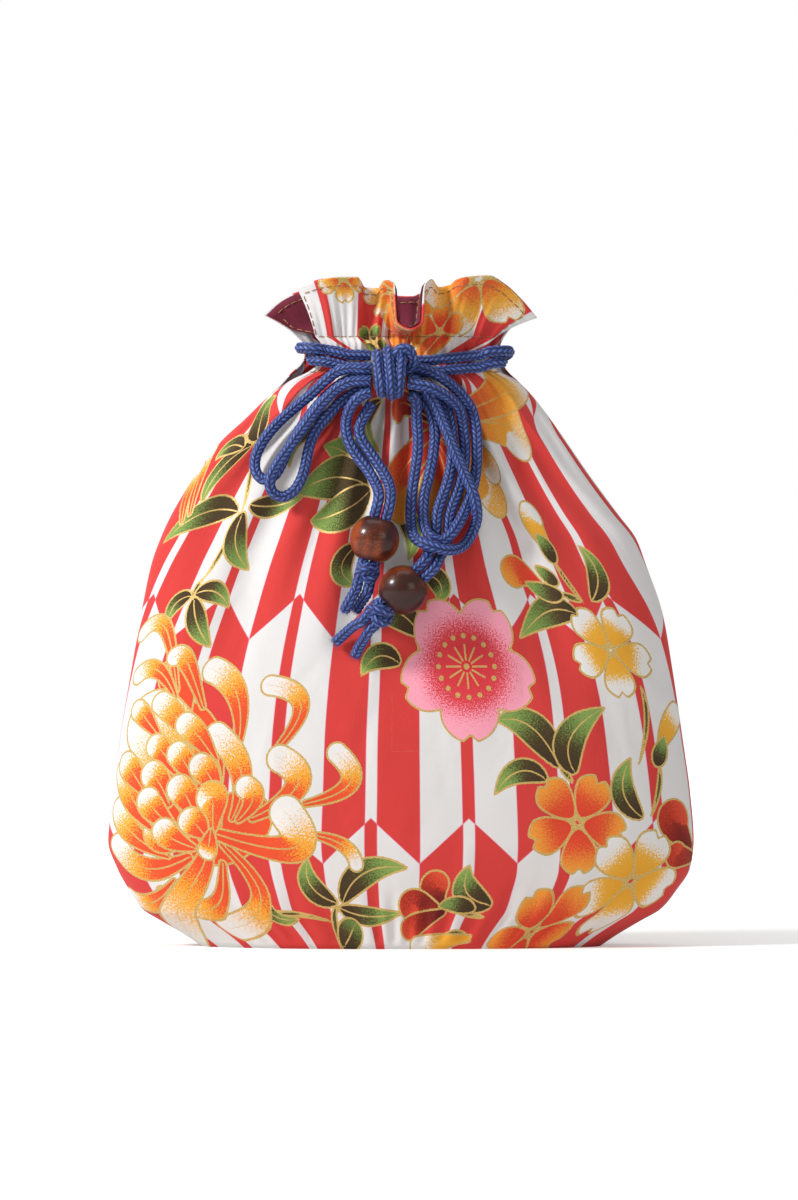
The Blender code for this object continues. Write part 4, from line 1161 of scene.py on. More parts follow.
@dataclass(frozen=True)
class LacqueredWood:
    """Turned, dark stained and lacquered wood: fine grain along the bore under a satin coat, with painted
    light paler to its left.
    """

    # dark and stain are the wood's own tones; glow is painted light, reached on the left side and on the
    # palest grain
    dark: str = "#34150D"
    stain: str = "#4C1F10"
    glow: str = "#963F14"
    drawn_out: float = 0.3
    fine_scale: float = 4.2
    broad_scale: float = 0.13
    painted_side_light: float = -0.016

    def material(self, name: str) -> Finish:
        """Material whose grain is drawn out along the bead's own axis, with painted light that makes it
        paler and glowing to its left.

        Args:
            name: material name.

        Returns:
            The new material.
        """
        made, tree, shader = new_material(name)
        maths = partial(calc, tree, "Math")
        local = add_node(tree, "Attribute", attribute_name="turned").outputs["Vector"]
        drawn = calc(tree, "VectorMath", "MULTIPLY", local, (1.0, 1.0, self.drawn_out))
        fine, broad = (
            add_node(tree, "TexNoise", {"Vector": drawn, "Scale": scale, "Detail": detail}).outputs["Fac"]
            for scale, detail in ((self.fine_scale, 4.0), (self.broad_scale, 1.0)))
        parts = add_node(tree, "SeparateXYZ", {0: local})
        # Grain noise plus a painted light term that grows towards the bead's left
        grain_and_side_light = maths("MULTIPLY_ADD", parts.outputs["X"], self.painted_side_light,
                      maths("MULTIPLY_ADD", fine, 0.55, broad))
        ramp = add_node(tree, "ValToRGB", {"Fac": grain_and_side_light})
        # The top stop is a painted glow of light, not a wood colour
        set_stops(ramp.color_ramp, ((0.70, self.dark), (0.86, self.stain), (1.0, self.glow)))
        pores = add_node(tree, "Bump", {"Height": fine, "Strength": 0.12, "Distance": 0.0001})
        feed(tree, shader, {
            "Base Color": ramp.outputs["Color"], "Normal": pores.outputs["Normal"],
            "Roughness": 0.42, "Specular IOR Level": 0.2, "Coat Weight": 0.5,
            "Coat Roughness": 0.17, "Coat IOR": 1.5})
        return made


@dataclass(frozen=True)
class WovenCotton:
    """Plain woven cotton: a matt cloth with a fine even thread grid and a soft fibre sheen."""

    colour: str = "#6B1B30"
    pale_dye: str = "#7D2A3E"
    thread: float = 0.45
    roughness: float = 0.86

    def weave(self, tree: Tree, cloth: Socket) -> Socket:
        """Thread grid and small wrinkles as one bump.

        Real threads lie about 0.36 mm apart; here they are 0.45 mm, so that they show.

        Args:
            tree: node tree of the material.
            cloth: socket with the cloth coordinates in millimetres.

        Returns:
            The normal.
        """
        maths = partial(calc, tree, "Math")
        parts = add_node(tree, "SeparateXYZ", {0: cloth})
        across, up = parts.outputs["X"], parts.outputs["Y"]
        warp, weft = (maths("SINE", maths("MULTIPLY", place, 2 * math.pi / self.thread))
                      for place in (across, up))
        fine = add_node(tree, "Bump", {"Height": maths("MULTIPLY", warp, weft), "Strength": 0.22,
                                       "Distance": 0.00006})
        flat = add_node(tree, "CombineXYZ", {0: across, 1: up}).outputs[0]
        slub = add_node(tree, "TexNoise", {"Vector": flat, "Scale": 0.9, "Detail": 3.0})
        stretched = calc(tree, "VectorMath", "MULTIPLY", flat, (0.05, 0.028, 1.0))
        crumple = add_node(tree, "TexNoise", {"Vector": stretched, "Scale": 1.0, "Detail": 1.5,
                                              "Roughness": 0.4, "Distortion": 0.5})
        uneven = maths("MULTIPLY_ADD", slub.outputs["Fac"], 0.03, crumple.outputs["Fac"])
        return add_node(tree, "Bump", {"Height": uneven, "Strength": 0.6, "Distance": 0.0034,
                                       "Normal": fine.outputs["Normal"]}).outputs["Normal"]

    def surface(self) -> Inputs:
        """Shader inputs of the matt cotton surface."""
        return {"Roughness": self.roughness, "Specular IOR Level": 0.25, "Sheen Weight": 0.12,
                "Sheen Roughness": 0.5}

    def material(self, name: str) -> Finish:
        """Plain dyed cotton with slightly uneven dye.

        Args:
            name: material name.

        Returns:
            The new material.
        """
        made, tree, shader = new_material(name)
        cloth = add_node(tree, "Attribute", attribute_name="cloth").outputs["Vector"]
        dye = add_node(tree, "TexNoise", {"Vector": cloth, "Scale": 1.4, "Detail": 4.0})
        shade = add_node(tree, "Mix", {0: dye.outputs["Fac"], 6: linear(self.colour),
                                       7: linear(self.pale_dye)}, data_type="RGBA")
        feed(tree, shader, self.surface() | {"Base Color": shade.outputs[2],
                                             "Normal": self.weave(tree, cloth)})
        return made


@dataclass(frozen=True)
class PrintedCotton(WovenCotton):
    """Cotton printed with arrow-feather stripes, flowers in stippled inks and gold outlines."""

    red: str = "#D53E3A"
    white: str = "#E2DFDE"
    edge: str = "#E0406E"
    gold: str = "#E2C377"
    gold_dark: str = "#A87D3A"
    column: float = 35.3
    border_place: float = 6.8
    shaft: float = 2.2
    barb: float = 0.92
    feather: float = 80.0
    apex: float = 47.0
    line: float = 0.38
    meeting_line: float = 0.22
    meeting_share: float = 0.55
    turn_slope: float = 0.74
    speckle: float = 0.95
    gilt_gloss: float = -0.42
    gilt_metal: float = 0.15
    rays: int = 12
    ray_radii: Span = (2.2, 8.0)
    dots: int = 16
    dot_ring: float = 11.0
    dot_radius: float = 0.95
    heart_radius: float = 1.1
    runs: tuple[tuple[tuple[float, str], ...], ...] = (
        ((0.0, "#E24A2A"), (0.42, "#EA552C"), (0.50, "#EF9A30"), (0.68, "#F0B23E"), (0.80, "#E9E5E2")),
        ((0.0, "#E8A02C"), (0.52, "#EDAE38"), (0.60, "#EFC264"), (0.66, "#E9E5E2")),
        ((0.0, "#D9382A"), (0.48, "#E24E2C"), (0.66, "#EC7A34"), (0.88, "#EF9C3A")),
        ((0.0, "#D6303A"), (0.50, "#DC4048"), (0.62, "#F07E90"), (0.74, "#FBA4B8")),
        ((0.0, "#40301E"), (0.40, "#4C3C22"), (0.56, "#66763A"), (0.78, "#86A454")),
        ((0.0, "#5E1614"), (0.40, "#96281C"), (0.66, "#CE3E28"), (1.0, "#E2563A")),
        ((0.0, "#4C4424"), (1.0, "#6A6A34")),
        ((0.0, "#D8482A"), (0.30, "#E0682E"), (0.46, "#E89A34"), (0.70, "#EDB244"), (0.84, "#E6E2DE")))

    def stripes(self, tree: Tree, parts: Node) -> Socket:
        """Arrow-feather stripes in two colours with a thin bright line where they meet.

        A column's own place runs from -0.5 to 0.5. The height above the barbs is the height up
        the cloth plus the place times the barb's slope. The sum of the column's number, the
        feather's number and one more on the shaft is even on white and odd on red. The line is
        where the place is near the shaft's edge or the column's, or the height near a feather's.

        Args:
            tree: node tree of the material.
            parts: node whose X and Y are the cloth coordinates in millimetres.

        Returns:
            The colour.
        """
        maths = partial(calc, tree, "Math")
        shifted = maths("SUBTRACT", parts.outputs["X"], self.border_place)
        shifted = maths("DIVIDE", shifted, self.column)
        number = maths("FLOOR", shifted)
        place = maths("SUBTRACT", maths("SUBTRACT", shifted, number), 0.5)
        away = maths("ABSOLUTE", maths("MULTIPLY", place, self.column))
        height = maths("ADD", parts.outputs["Y"], maths("MULTIPLY", away, self.barb))
        level = maths("DIVIDE", maths("SUBTRACT", height, self.apex), self.feather)
        shaft = maths("LESS_THAN", away, self.shaft)
        odd = maths("PINGPONG", maths("ADD", maths("ADD", number, maths("FLOOR", level)), shaft), 1.0)
        near = maths("ABSOLUTE", maths("SUBTRACT", away, self.shaft))
        rim = maths("SUBTRACT", self.column / 2, away)
        turn = maths("MULTIPLY", maths("PINGPONG", level, 0.5), self.feather * self.turn_slope)
        nearest = maths("MINIMUM", maths("MINIMUM", near, rim), turn)
        faint = maths("MULTIPLY", maths("LESS_THAN", nearest, self.meeting_line), self.meeting_share)
        ground = add_node(tree, "Mix", {0: odd, 6: linear(self.white), 7: linear(self.red)},
                          data_type="RGBA")
        return add_node(tree, "Mix", {0: faint, 6: ground.outputs[2], 7: linear(self.edge)},
                        data_type="RGBA").outputs[2]

    def material(self, name: str) -> Finish:
        """Stripes, then each layer of printed shapes, then gold lines.

        A layer's red is the signed distance to its shapes in millimetres, green the run from root
        to tip, blue the ink's number and alpha the distance to the vein. Below nought the layer
        covers what is under it. The run is made grainy with fine noise before its ink's colours
        are read, which gives the airbrushed speckle of the print.

        Args:
            name: material name.

        Returns:
            The new material.
        """
        made, tree, shader = new_material(name)
        maths = partial(calc, tree, "Math")
        cloth = add_node(tree, "Attribute", attribute_name="cloth").outputs["Vector"]
        parts = add_node(tree, "SeparateXYZ", {0: cloth})
        rough, speck, glint = (
            add_node(tree, "TexNoise", {"Vector": cloth, "Scale": scale, "Detail": detail}).outputs["Fac"]
            for scale, detail in ((1.9, 2.0), (1.7, 3.0), (3.4, 1.0)))
        width = maths("MULTIPLY_ADD", rough, 0.36, self.line - 0.18)
        top = add_node(tree, "CombineXYZ", {0: 0.0, 1: 0.0, 2: -1.0}).outputs[0]
        gold: Any = 0.0
        for number in range(LAYERS):
            layer = add_node(tree, "Attribute", attribute_name=f"print_{number:02d}")
            split = add_node(tree, "SeparateColor", {0: layer.outputs["Color"]})
            distance, run, ink_number = split.outputs[:3]
            inside = maths("LESS_THAN", distance, 0.0)
            outline = maths("LESS_THAN", maths("ABSOLUTE", distance), width)
            vein = maths("LESS_THAN", maths("ABSOLUTE", layer.outputs["Alpha"]),
                         maths("MULTIPLY", width, 0.75))
            held = add_node(tree, "CombineXYZ", {0: 1.0, 1: run, 2: ink_number})
            top = add_node(tree, "Mix", {0: inside, 4: top, 5: held.outputs[0]},
                           data_type="VECTOR").outputs[1]
            kept = maths("MULTIPLY", gold, maths("SUBTRACT", 1.0, inside))
            gold = maths("MAXIMUM", kept,
                         maths("MAXIMUM", outline, maths("MULTIPLY", inside, vein)))
        drawn = add_node(tree, "SeparateXYZ", {0: top})
        grain = maths("MULTIPLY", maths("SUBTRACT", speck, 0.5), self.speckle)
        grainy = maths("ADD", drawn.outputs["Y"], grain)
        colour = self.stripes(tree, parts)
        for ink in Ink:
            ramp = add_node(tree, "ValToRGB", {"Fac": grainy})
            set_stops(ramp.color_ramp, self.runs[ink.value])
            off = maths("ABSOLUTE", maths("SUBTRACT", drawn.outputs["Z"], float(ink.value)))
            used = maths("MULTIPLY", maths("LESS_THAN", off, 0.5), drawn.outputs["X"])
            colour = add_node(tree, "Mix", {0: used, 6: colour, 7: ramp.outputs["Color"]},
                              data_type="RGBA").outputs[2]
        flake = add_node(tree, "MapRange", {0: glint, 1: 0.38, 2: 0.56})
        leaf = add_node(tree, "Mix", {0: flake.outputs[0], 6: linear(self.gold_dark),
                                      7: linear(self.gold)}, data_type="RGBA")
        gilt = maths("MAXIMUM", gold, self.stamens(tree, width))
        final = add_node(tree, "Mix", {0: gilt, 6: colour, 7: leaf.outputs[2]}, data_type="RGBA")
        feed(tree, shader, self.surface() | {
            "Base Color": final.outputs[2], "Normal": self.weave(tree, cloth),
            "Roughness": maths("MULTIPLY_ADD", gilt, self.gilt_gloss, self.roughness),
            "Metallic": maths("MULTIPLY", gilt, self.gilt_metal)})
        return made

    def stamens(self, tree: Tree, width: Socket) -> Socket:
        """Gold rays, a ring of dots and a heart, from each flower's own x and y in millimetres.

        The angle is split in twelve for the rays and sixteen for the dots. A ray is where the
        radius times the sine of the angle left over is under the line's width.

        Args:
            tree: node tree of the material.
            width: width of the gold lines in millimetres.

        Returns:
            One on the stamens and nought elsewhere.
        """
        maths = partial(calc, tree, "Math")
        heart = add_node(tree, "Attribute", attribute_name="heart")
        own = add_node(tree, "SeparateXYZ", {0: heart.outputs["Vector"]})

        def hypotenuse(a: Socket, b: Socket) -> Socket:
            """Square root of the sum of two squares."""
            return maths("SQRT", maths("ADD", maths("POWER", a, 2.0), maths("POWER", b, 2.0)))

        radius = hypotenuse(own.outputs["X"], own.outputs["Y"])
        angle = maths("ADD", maths("ARCTAN2", own.outputs["Y"], own.outputs["X"]), math.pi)
        spoke, gap = (maths("MULTIPLY", radius, maths("SINE", maths("PINGPONG", angle, math.pi / count)))
                      for count in (self.rays, self.dots))
        inner, outer = self.ray_radii
        belt = maths("MULTIPLY", maths("GREATER_THAN", radius, inner), maths("LESS_THAN", radius, outer))
        ray = maths("MULTIPLY", maths("LESS_THAN", spoke, maths("MULTIPLY", width, 0.9)), belt)
        dot = maths("LESS_THAN", hypotenuse(gap, maths("SUBTRACT", radius, self.dot_ring)),
                    self.dot_radius)
        middle = maths("LESS_THAN", radius, self.heart_radius)
        return maths("MAXIMUM", ray, maths("MAXIMUM", dot, middle))


@dataclass(frozen=True)
class GiltThread:
    """Spun sewing thread in tan and gold, with a slight satin twist."""

    colour: str = "#B98A55"
    shade: str = "#8C5F38"
    twist_scale: float = 2600.0

    def material(self, name: str) -> Finish:
        """Satin thread whose fine twist is in its two tones.

        Args:
            name: material name.

        Returns:
            The new material.
        """
        made, tree, shader = new_material(name)
        place = add_node(tree, "TexCoord").outputs["Object"]
        twist = add_node(tree, "TexNoise", {"Vector": place, "Scale": self.twist_scale, "Detail": 1.0})
        shade = add_node(tree, "Mix", {0: twist.outputs["Fac"], 6: linear(self.colour),
                                       7: linear(self.shade)}, data_type="RGBA")
        feed(tree, shader, {"Base Color": shade.outputs[2], "Roughness": 0.55, "Sheen Weight": 0.2})
        return made


@dataclass(frozen=True)
class PrintMotifs:
    """Shapes of the print, common flowers, leaves and buds of such cottons, as rows of numbers.

    Most rows are root, middle and tip at pixels of the photograph and the half-width in tenths of
    a millimetre, and peony petals and buds have their ink after it. A blossom is its centre, its
    petals' length in millimetres and its turn in degrees; the crown's centres are cloth places.
    """

    backdrop: Marks = (
        (170, 830, 176, 790, 178, 700, 190), (196, 850, 220, 836, 268, 800, 110),
        (184, 730, 180, 694, 174, 656, 72))
    mum: Marks = (
        (210, 832, 190, 770, 140, 700, 130), (178, 690, 166, 628, 138, 636, 30),
        (204, 706, 189, 664, 170, 652, 36), (176, 696, 158, 670, 133, 678, 33),
        (240, 740, 238, 694, 208, 662, 46), (276, 750, 302, 704, 264, 680, 36),
        (306, 802, 350, 782, 334, 742, 38), (306, 832, 342, 842, 361, 868, 26),
        (224, 842, 262, 900, 230, 932, 42), (224, 862, 216, 906, 158, 894, 40),
        (176, 880, 154, 902, 128, 896, 34), (206, 840, 196, 880, 186, 950, 48),
        (190, 856, 148, 868, 112, 838, 50), (234, 816, 242, 770, 212, 724, 46),
        (254, 816, 298, 784, 274, 746, 50), (216, 832, 294, 846, 284, 794, 60),
        (168, 854, 134, 834, 116, 800, 44), (176, 846, 160, 842, 150, 820, 40),
        (154, 826, 134, 800, 120, 762, 50), (196, 744, 178, 718, 156, 696, 42),
        (216, 758, 200, 736, 180, 716, 44), (160, 736, 146, 718, 134, 704, 38),
        (176, 770, 164, 752, 150, 738, 46), (196, 780, 186, 762, 172, 744, 46),
        (218, 790, 210, 774, 194, 756, 48), (146, 792, 134, 774, 122, 756, 50),
        (170, 802, 160, 782, 146, 764, 52), (196, 816, 188, 796, 172, 778, 52),
        (176, 828, 156, 810, 142, 790, 48), (214, 826, 214, 802, 210, 782, 58),
        (240, 818, 254, 798, 242, 776, 42), (206, 834, 198, 824, 182, 812, 48),
        (194, 846, 174, 838, 156, 822, 46), (212, 830, 210, 842, 207, 858, 34),
        (190, 514, 199, 478, 216, 446, 30), (182, 522, 188, 492, 204, 462, 28))
    peony: Marks = (
        (436, 400, 446, 470, 430, 530, 130, 2), (446, 440, 484, 486, 504, 508, 84, 7),
        (440, 430, 404, 470, 398, 524, 86, 2), (452, 424, 500, 424, 530, 448, 96, 7),
        (450, 418, 500, 396, 516, 368, 84, 7), (448, 430, 478, 454, 500, 480, 60, 7),
        (430, 420, 406, 404, 392, 414, 50, 5), (436, 440, 452, 470, 450, 506, 60, 2))
    leaves: Marks = (
        (258, 440, 262, 416, 276, 396, 52), (252, 446, 222, 468, 201, 505, 48),
        (244, 448, 230, 446, 216, 460, 36), (239, 512, 202, 514, 163, 543, 56),
        (250, 505, 276, 506, 304, 497, 42), (244, 513, 236, 544, 250, 570, 50),
        (196, 594, 216, 592, 230, 608, 38), (192, 596, 176, 604, 168, 624, 34),
        (195, 598, 198, 624, 212, 647, 40), (333, 419, 304, 432, 290, 468, 56),
        (370, 478, 350, 456, 324, 446, 66), (368, 486, 332, 478, 298, 495, 80),
        (370, 491, 342, 512, 311, 521, 74), (382, 400, 366, 424, 380, 452, 40),
        (397, 513, 412, 530, 408, 560, 56), (356, 546, 342, 568, 356, 586, 50),
        (424, 574, 440, 584, 437, 602, 46), (421, 635, 396, 612, 366, 618, 58),
        (400, 663, 378, 656, 362, 675, 46), (576, 614, 546, 612, 519, 638, 54),
        (591, 601, 596, 572, 577, 546, 44), (559, 767, 530, 726, 495, 720, 60),
        (574, 772, 570, 736, 604, 707, 58), (546, 779, 518, 770, 494, 793, 44),
        (642, 817, 622, 790, 630, 757, 48), (491, 903, 466, 890, 469, 863, 52),
        (338, 901, 312, 884, 309, 856, 44), (343, 901, 366, 870, 408, 866, 50),
        (340, 905, 368, 914, 403, 910, 36), (344, 946, 352, 930, 352, 922, 50),
        (260, 878, 272, 912, 300, 916, 30), (436, 946, 452, 936, 470, 940, 30))
    stems: Marks = (
        (256, 440, 250, 480, 242, 512, 10), (240, 513, 222, 552, 205, 578, 10),
        (205, 578, 196, 590, 194, 600, 9), (338, 900, 336, 924, 342, 948, 10),
        (552, 560, 568, 584, 583, 603, 9), (548, 548, 550, 556, 554, 564, 9),
        (640, 686, 646, 720, 638, 764, 9), (659, 762, 658, 790, 650, 816, 9),
        (559, 766, 566, 774, 572, 782, 10), (260, 912, 296, 912, 334, 920, 8),
        (560, 594, 572, 598, 582, 602, 12), (452, 908, 470, 912, 484, 916, 9))
    buds: Marks = (
        (538, 583, 520, 572, 501, 573, 56, 2), (548, 550, 534, 528, 526, 502, 52, 1),
        (660, 748, 668, 728, 678, 706, 44, 1), (440, 906, 434, 890, 436, 868, 52, 5),
        (438, 908, 418, 902, 402, 906, 56, 5), (442, 910, 420, 920, 402, 932, 44, 5),
        (690, 846, 676, 826, 672, 800, 70, 5), (694, 858, 680, 856, 668, 850, 46, 5),
        (468, 936, 440, 940, 410, 944, 34, 1))
    calyxes: Marks = (
        (561, 594, 544, 592, 524, 582, 34), (556, 582, 546, 576, 534, 566, 30),
        (553, 562, 546, 548, 534, 534, 34), (656, 764, 660, 752, 664, 736, 32),
        (474, 908, 456, 902, 438, 904, 30))
    blossoms: tuple[tuple[int, int, float, float, Ink], ...] = (
        (610, 650, 17.0, 126.0, Ink.CREAM), (576, 821, 18.5, 130.0, Ink.ORANGE),
        (630, 880, 19.5, 62.0, Ink.CREAM), (531, 930, 18.0, 58.0, Ink.ORANGE))
    pink: tuple[int, int, float, float] = (466, 666, 27.0, 54.0)
    crown: tuple[tuple[float, float, float, float, Ink], ...] = (
        (-36.0, 245.0, 11.0, 200.0, Ink.AMBER), (-11.0, 241.0, 13.0, 250.0, Ink.AMBER),
        (3.0, 229.0, 16.0, 100.0, Ink.ORANGE), (35.0, 244.0, 24.0, 190.0, Ink.AMBER),
        (22.0, 222.0, 13.0, 20.0, Ink.ORANGE), (-20.0, 217.0, 9.0, 60.0, Ink.LEAF))
    back_shift: float = 17.0  # millimetres up on the back panel
    touch: float = 0.35  # millimetres within which shapes lie on separate layers


class PrintSheet:
    """Printed shapes of one panel, kept as layers that lie over each other.

    Each layer holds four numbers for each cloth point: signed distance to the layer's shapes, run
    from root to tip, ink and distance to the vein, as the printed cotton reads them.
    """

    def __init__(self, form: PouchForm, cloth: Array, back: bool) -> None:
        """Starts with empty layers.

        Args:
            form: form of the pouch, which gives the places of pixels on the cloth.
            cloth: across and up for each point, in millimetres.
            back: draws the print of the back panel, which is turned left to right and moved up.
        """
        self.form, self.cloth, self.back = form, cloth, back
        self.bare = np.array([FAR_AWAY, 0, 0, FAR_AWAY])
        self.layers = np.tile(self.bare, (LAYERS, len(cloth), 1))
        self.heart = np.full((len(cloth), 3), NO_HEART)
        self.motifs = PrintMotifs()

    def place(self, px: float, py: float) -> Array:
        """Cloth place of a pixel, moved over for the back panel."""
        return self.moved(*self.form.cloth_place(px, py))

    def moved(self, across: float, up: float) -> Array:
        """The place itself on the front, and its place in the back's print."""
        return np.array([-across, up + self.motifs.back_shift] if self.back else [across, up])

    def near(self, places: Array, reach: float) -> NDArray[np.int64]:
        """Numbers of the cloth points inside the places' box, widened by the reach."""
        low, high = places.min(0) - reach, places.max(0) + reach
        return np.flatnonzero(np.all((self.cloth > low) & (self.cloth < high), axis=1))

    def stamp(self, points: NDArray[np.int64], distance: Array, run: Array, ink: Ink,
              vein: Optional[Array] = None) -> None:
        """Puts a shape on the lowest layer above every shape that it touches.

        Args:
            points: numbers of the cloth points that the shape may reach.
            distance: signed distance to the shape in millimetres.
            run: share from root to tip.
            ink: colour run that fills it.
            vein: signed distance to its vein; none is far away.
        """
        if not len(points):
            return
        vein = np.full(len(points), FAR_AWAY) if vein is None else vein
        reach = self.motifs.touch
        touching = np.any((self.layers[:, points, 0] < reach) & (distance < reach)[None], axis=1)
        number = min(int(np.flatnonzero(touching).max()) + 1 if touching.any() else 0, LAYERS - 1)
        closer = distance < self.layers[number, points, 0]
        own = np.stack([distance, run, np.full_like(distance, ink.value), vein], 1)
        self.layers[number, points[closer]] = own[closer]

    def stroke(self, marks: Sequence[int], ink: Ink, pointed: bool, vein_end: float = 0.0,
               reach: float = 1.0) -> None:
        """A petal, leaf or stem along a bent line.

        The line is the quadratic curve through root, middle and tip, and the signed distance is
        that to the line less the half-width there. A petal's half-width grows as a quarter-sine,
        and its run goes on over its round end; a leaf's half-width is a sine from end to end.

        Args:
            marks: root, middle and tip in pixels, then the half-width in tenths of a millimetre.
            ink: colour run.
            pointed: gives the leaf's form instead of the petal's.
            vein_end: share of the line where its gold vein ends; nought draws none.
            reach: share of the colour run that the tip gets to.
        """
        root, middle, tip = (self.place(marks[k], marks[k + 1]) for k in (0, 2, 4))
        width = marks[6] / 10
        if not pointed:
            tip = tip - unit(tip - middle) * min(width, 0.7 * float(np.linalg.norm(tip - middle)))
        bend = 2 * middle - (root + tip) / 2
        parts = 14
        t = np.linspace(0, 1, parts + 1)[:, None]
        line = root * (1 - t) ** 2 + bend * 2 * t * (1 - t) + tip * t ** 2
        points = self.near(line, width + 2.5)
        spots = self.cloth[points][:, None]
        start, step = line[:-1][None], np.diff(line, axis=0)[None]
        along = np.clip(((spots - start) * step).sum(2) / (step ** 2).sum(2), 0, 1)
        away = spots - (start + step * along[..., None])
        gap = np.linalg.norm(away, axis=2)
        run = (np.arange(parts)[None] + along) / parts
        if pointed:
            wide = width * np.sin(math.pi * run ** 0.80) ** 0.85
        else:
            wide = width * (0.34 + 0.66 * np.sin(math.pi / 2 * np.clip(run / 0.8, 0, 1)))
        best = np.argmin(gap - wide, axis=1)
        pick = np.arange(len(points)), best
        side = np.sign(step[0, best, 0] * away[pick][:, 1] - step[0, best, 1] * away[pick][:, 0])
        own = run[pick]
        vein = side * gap[pick] * (1 + 10 * np.clip(own - vein_end, 0, 1)) if vein_end else None
        if not pointed:
            length = path_length(line)
            beyond = np.clip((self.cloth[points] - tip) @ unit(tip - line[-2]), 0, width)
            own = (length * own + beyond) / (length + width)
        self.stamp(points, (gap - wide)[pick], own * reach, ink, vein)

    def petals(self, offset: Array, turn: float) -> list[tuple[Array, Array]]:
        """Places in the frames of a flower's five petals.

        Args:
            offset: cloth places from the flower's centre.
            turn: angle of the first petal in degrees.

        Returns:
            Millimetres along and across, for each petal.
        """
        angles = [math.radians(turn + 72 * number) for number in range(5)]
        return [(offset @ np.array([math.cos(angle), math.sin(angle)]),
                 offset @ np.array([-math.sin(angle), math.cos(angle)])) for angle in angles]

    def blossom(self, centre: Array, size: float, turn: float, ink: Ink) -> None:
        """Five notched petals about a centre.

        In a petal's own frame it is an ellipse whose width grows from its root, less a wedge at
        the tip.

        Args:
            centre: cloth place in millimetres.
            size: length of a petal.
            turn: angle of the first petal in degrees.
            ink: colour run.
        """
        points = self.near(centre[None], size + 3)
        middle, half = 0.55 * size, 0.46 * size
        for along, across in self.petals(self.cloth[points] - centre, turn):
            wide = 0.37 * size * (0.42 + 0.58 * np.clip(along / (0.66 * size), 0, 1.2))
            radius = np.hypot((along - middle) / half, across / wide)
            distance = (radius - 1) * np.minimum(half, wide) * 0.92
            notch = (along - 0.88 * size) * 0.8 - np.abs(across) * 0.9
            self.stamp(points, np.maximum(distance, notch), np.clip(along / size, 0, 1), ink)

    def rosette(self, centre: Array, size: float, turn: float) -> None:
        """Wide blossom whose five petals run together, with a heart of stamens.

        Args:
            centre: cloth place in millimetres.
            size: length of a petal.
            turn: angle of the first petal in degrees.
        """
        points = self.near(centre[None], size + 3)
        offset = self.cloth[points] - centre
        core = np.hypot(offset[:, 0], offset[:, 1])
        whole = core - 0.40 * size
        for along, across in self.petals(offset, turn):
            radius = np.hypot((along - 0.59 * size) / 0.41, across / 0.41) / size
            notch = (along - 0.90 * size) * 0.8 - np.abs(across) * 0.7
            whole = np.minimum(whole, np.maximum((radius - 1) * 0.42 * size, notch))
        self.heart[points, :2] = offset
        self.stamp(points, whole, np.clip(core / size, 0, 1), Ink.PINK)

    def draw(self) -> None:
        """Draws every shape, from the ones that lie under the others to the ones on top."""
        motifs = self.motifs
        for marks in motifs.stems:
            self.stroke(marks, Ink.STEM, True)
        for marks in motifs.leaves:
            self.stroke(marks, Ink.LEAF, True, 0.76)
        for marks in motifs.peony:
            self.stroke(marks, tuple(Ink)[marks[7]], False, 0.4)
        for across, up, size, turn, ink in motifs.crown:
            self.blossom(self.moved(across, up), size, turn, ink)
        for marks in motifs.backdrop:
            self.stroke(marks, Ink.FLAME, False, 0.0, 0.3)
        for marks in motifs.mum:
            self.stroke(marks, Ink.FLAME, False, 0.5)
        for marks in motifs.buds:
            self.stroke(marks, tuple(Ink)[marks[7]], False)
        for marks in motifs.calyxes:
            self.stroke(marks, Ink.LEAF, True)
        px, py, size, turn = motifs.pink
        self.rosette(self.place(px, py), size, turn)
        for px, py, size, turn, ink in motifs.blossoms:
            self.blossom(self.place(px, py), size, turn, ink)

    def store_on(self, piece: Piece, spare: int) -> None:
        """Keeps the layers on the first points of a piece, and bare cloth on the spare ones.

        Args:
            piece: mesh object.
            spare: number of its other points.
        """
        blank = np.tile(self.bare, (spare, 1))
        for number, layer in enumerate(self.layers):
            store(piece, f"print_{number:02d}", np.vstack([layer, blank]))
        store(piece, "heart", np.vstack([self.heart, np.full((spare, 3), NO_HEART)]))


